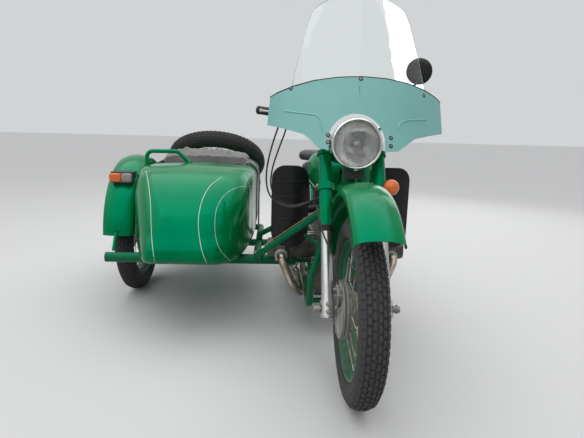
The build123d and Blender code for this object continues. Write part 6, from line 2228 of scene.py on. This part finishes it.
    def bolts(self) -> None:
        """Make the tub's mounting bolts, the grab rail's flanges and the lid's handle, nut and rivets."""
        form = Form("tub_bolts", STEEL, GREEN)
        for x in (-955, -905, -560, -500):
            for y in (760, 1030, 1490):
                form.bolt(place(x, y, 352), -UP, 13.0, 7.0)
        form.turned(((11.5, -2), (20, -2), (20, 2), (14, 5), (11.5, 6)), place(-1008, 1000, 762), UP, 1, 36)
        form.turned(
            ((11.5, -2), (19, -2), (19, 2), (14, 5), (11.5, 6)), place(-778, 1000, 794), Vector((-0.3, 0, 1)),
            1, 36,
        )
        form.piece(Body.CHASSIS, "bare_steel")
        lid = Form("lid_fittings", CHROME, STEEL)
        up = lid_place(0, 0, 1000) - lid_place(0, 0, 0)
        lid.turned(((0, -2), (17, -2), (17, 3), (11, 8), (8, 20), (0, 22)), lid_place(0, 462, -2), up, 0, 32)
        lid.turned(((9, 0), (26, 0), (26, 4), (20, 8), (9, 9)), lid_place(0, 205, 132), up, 1, 6)
        for x in (-150, 150):
            for y in (26, 46):
                for aside in (-14, 14):
                    lid.rivet(lid_place(x + aside, y, -2.4), up, 4.0, 2.4, 1)
        lid.piece(Body.LID, "bare_steel")


@dataclass
class StrutWire:
    """The beige lead tied along the front strut, and its clips."""

    line: tuple[Point, ...] = (
        (-352, 530, 443), (-330, 513, 462), (-262, 471, 520), (-200, 432, 574), (-128, 387, 635),
        (-74, 353, 682),
    )

    def build(self) -> None:
        """Make the lead and its clips."""
        path = smooth_path([place(*point) for point in self.line])
        form = Form("strut_lead", BEIGE, STEEL)
        form.tube(path, 2.4, 10)
        for share in (0.06, 0.4, 0.74, 0.97):
            index = int(share * (len(path) - 2))
            way = path[index + 1] - path[index]
            form.turned(((2.4, 0), (4.2, 0), (4.2, 8), (2.4, 8)), path[index], way, 1, 16, closed=True)
        form.piece(Body.CHASSIS, "rubber")


# Studio


@dataclass
class Studio:
    """Pale floor, soft lights and the photograph's camera."""

    lens: float = 28.24
    eye: Point = (-313.0, -1569.0, 973.0)
    yaw: float = 2.513
    pitch: float = 10.757
    roll: float = 1.527

    def build(self) -> None:
        """Make the floor, the world, the lamps and the camera."""
        self.floor()
        self.world()
        self.daylight()
        self.lamp("sky_panel", (0.0, 0.4, 4.2), (0.0, 0.2, 0.3), 5.5, 72.0)
        self.lamp("front_panel", (-1.2, -3.4, 3.9), (0.0, -0.2, 0.6), 4.4, 24.0)
        self.lamp("rear_panel", (2.8, 3.6, 2.8), (0.0, 0.3, 0.6), 3.0, 30.0)
        self.camera()
        bpy.context.scene.view_settings.view_transform = "Standard"

    def floor(self) -> None:
        """Lay a plain pale floor with a faint tooth."""
        mesh = bpy.data.meshes.new("studio_floor")
        reach = 60.0
        corners = [(-reach, -reach, 0), (reach, -reach, 0), (reach, reach, 0), (-reach, reach, 0)]
        mesh.from_pydata(corners, [], [(0, 1, 2, 3)])
        mesh.materials.append(self.paper())
        linked("studio_floor", mesh)

    @staticmethod
    def seen(hand: Tree) -> bpy.types.NodeSocket:
        """Return a mask of the rays that look at the surround, straight, mirrored or through glass."""
        path = hand.node("LightPath").outputs
        either = hand.calc("MAXIMUM", path["Is Camera Ray"], path["Is Glossy Ray"])
        return hand.calc("MAXIMUM", either, path["Is Transmission Ray"])

    def paper(self) -> bpy.types.Material:
        """Return the floor's matt paper, pale where it is seen and duller where it only throws light back."""
        made, hand, shader = begun("floor_paper")
        seen = self.seen(hand)
        tooth = hand.noise(hand.node("TexCoord").outputs["Object"], 220.0, 3.0)
        pale = hand.mix(tooth, (0.68, 0.68, 0.68), (0.72, 0.72, 0.72))
        hand.feed(shader.inputs["Base Color"], hand.mix(seen, (0.36, 0.36, 0.36), pale))
        settle(shader, Roughness=0.9)
        return made

    def world(self) -> None:
        """Set an even pale surround, as bright to the camera as the floor."""
        world = bpy.data.worlds.new("studio_world")
        bpy.context.scene.world = world
        world.use_nodes = True
        hand = Tree(world.node_tree)
        world.node_tree.nodes.clear()
        seen = self.seen(hand)
        plain = hand.node("Background", None, Color=(0.95, 0.97, 1.0), Strength=0.28).outputs[0]
        pale = hand.node("Background", None, Color=(0.64, 0.655, 0.67), Strength=1.0).outputs[0]
        both = hand.node("MixShader", None, i0=seen, i1=plain, i2=pale).outputs[0]
        hand.node("OutputWorld", None, Surface=both)

    def daylight(self) -> None:
        """Hang a soft sun high up, which lights the floor evenly near and far."""
        data = bpy.data.lights.new("soft_sun", "SUN")
        data.energy = 1.5
        data.angle = math.radians(110.0)
        linked("soft_sun", data).rotation_euler = (math.radians(18.0), math.radians(-14.0), 0.0)

    def lamp(self, name: str, at: Point, to: Point, size: float, power: float) -> None:
        """Hang one soft square lamp that faces a point."""
        data = bpy.data.lights.new(name, "AREA")
        data.size = size
        data.energy = power
        piece = linked(name, data)
        piece.location = at
        piece.rotation_euler = (Vector(to) - Vector(at)).to_track_quat("-Z", "Y").to_euler()

    def camera(self) -> None:
        """Stand the camera where the photograph was taken from."""
        yaw, pitch, roll = (math.radians(angle) for angle in (self.yaw, self.pitch, self.roll))
        right = Vector((math.cos(yaw), -math.sin(yaw), 0.0))
        ahead = Vector((math.sin(yaw), math.cos(yaw), 0.0))
        look = ahead * math.cos(pitch) - UP * math.sin(pitch)
        crown = UP * math.cos(pitch) + ahead * math.sin(pitch)
        across = right * math.cos(roll) + crown * math.sin(roll)
        above = crown * math.cos(roll) - right * math.sin(roll)
        data = bpy.data.cameras.new("photo_camera")
        data.lens = self.lens
        data.clip_end = 200.0
        piece = linked("photo_camera", data)
        turn = Matrix((across, above, -look)).transposed()
        piece.matrix_world = Matrix.Translation(place(*self.eye)) @ turn.to_4x4()
        bpy.context.scene.camera = piece


def main() -> None:
    """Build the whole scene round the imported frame."""
    logging.basicConfig(level=logging.INFO, format="%(message)s")
    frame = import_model()
    nodes = frame["nodes"]
    Studio().build()
    ControlCables().build()
    dress_nodes(nodes)
    BlockTyre().build()
    LacedWheel().build(nodes)
    Fork().build()
    Headlamp().build()
    HandlebarFairing().build()
    BarFittings().build(nodes)
    Engine().build()
    ChassisFittings().build()
    Saddle().build()
    SidecarSeat().build()
    CanvasCover().build()
    for guard in mudguards():
        guard.build()
    tub = TubSkin().build(nodes)
    TubTrim().build(tub, bpy.context.scene.camera)
    StrutWire().build()


if __name__ == "__main__":
    main()
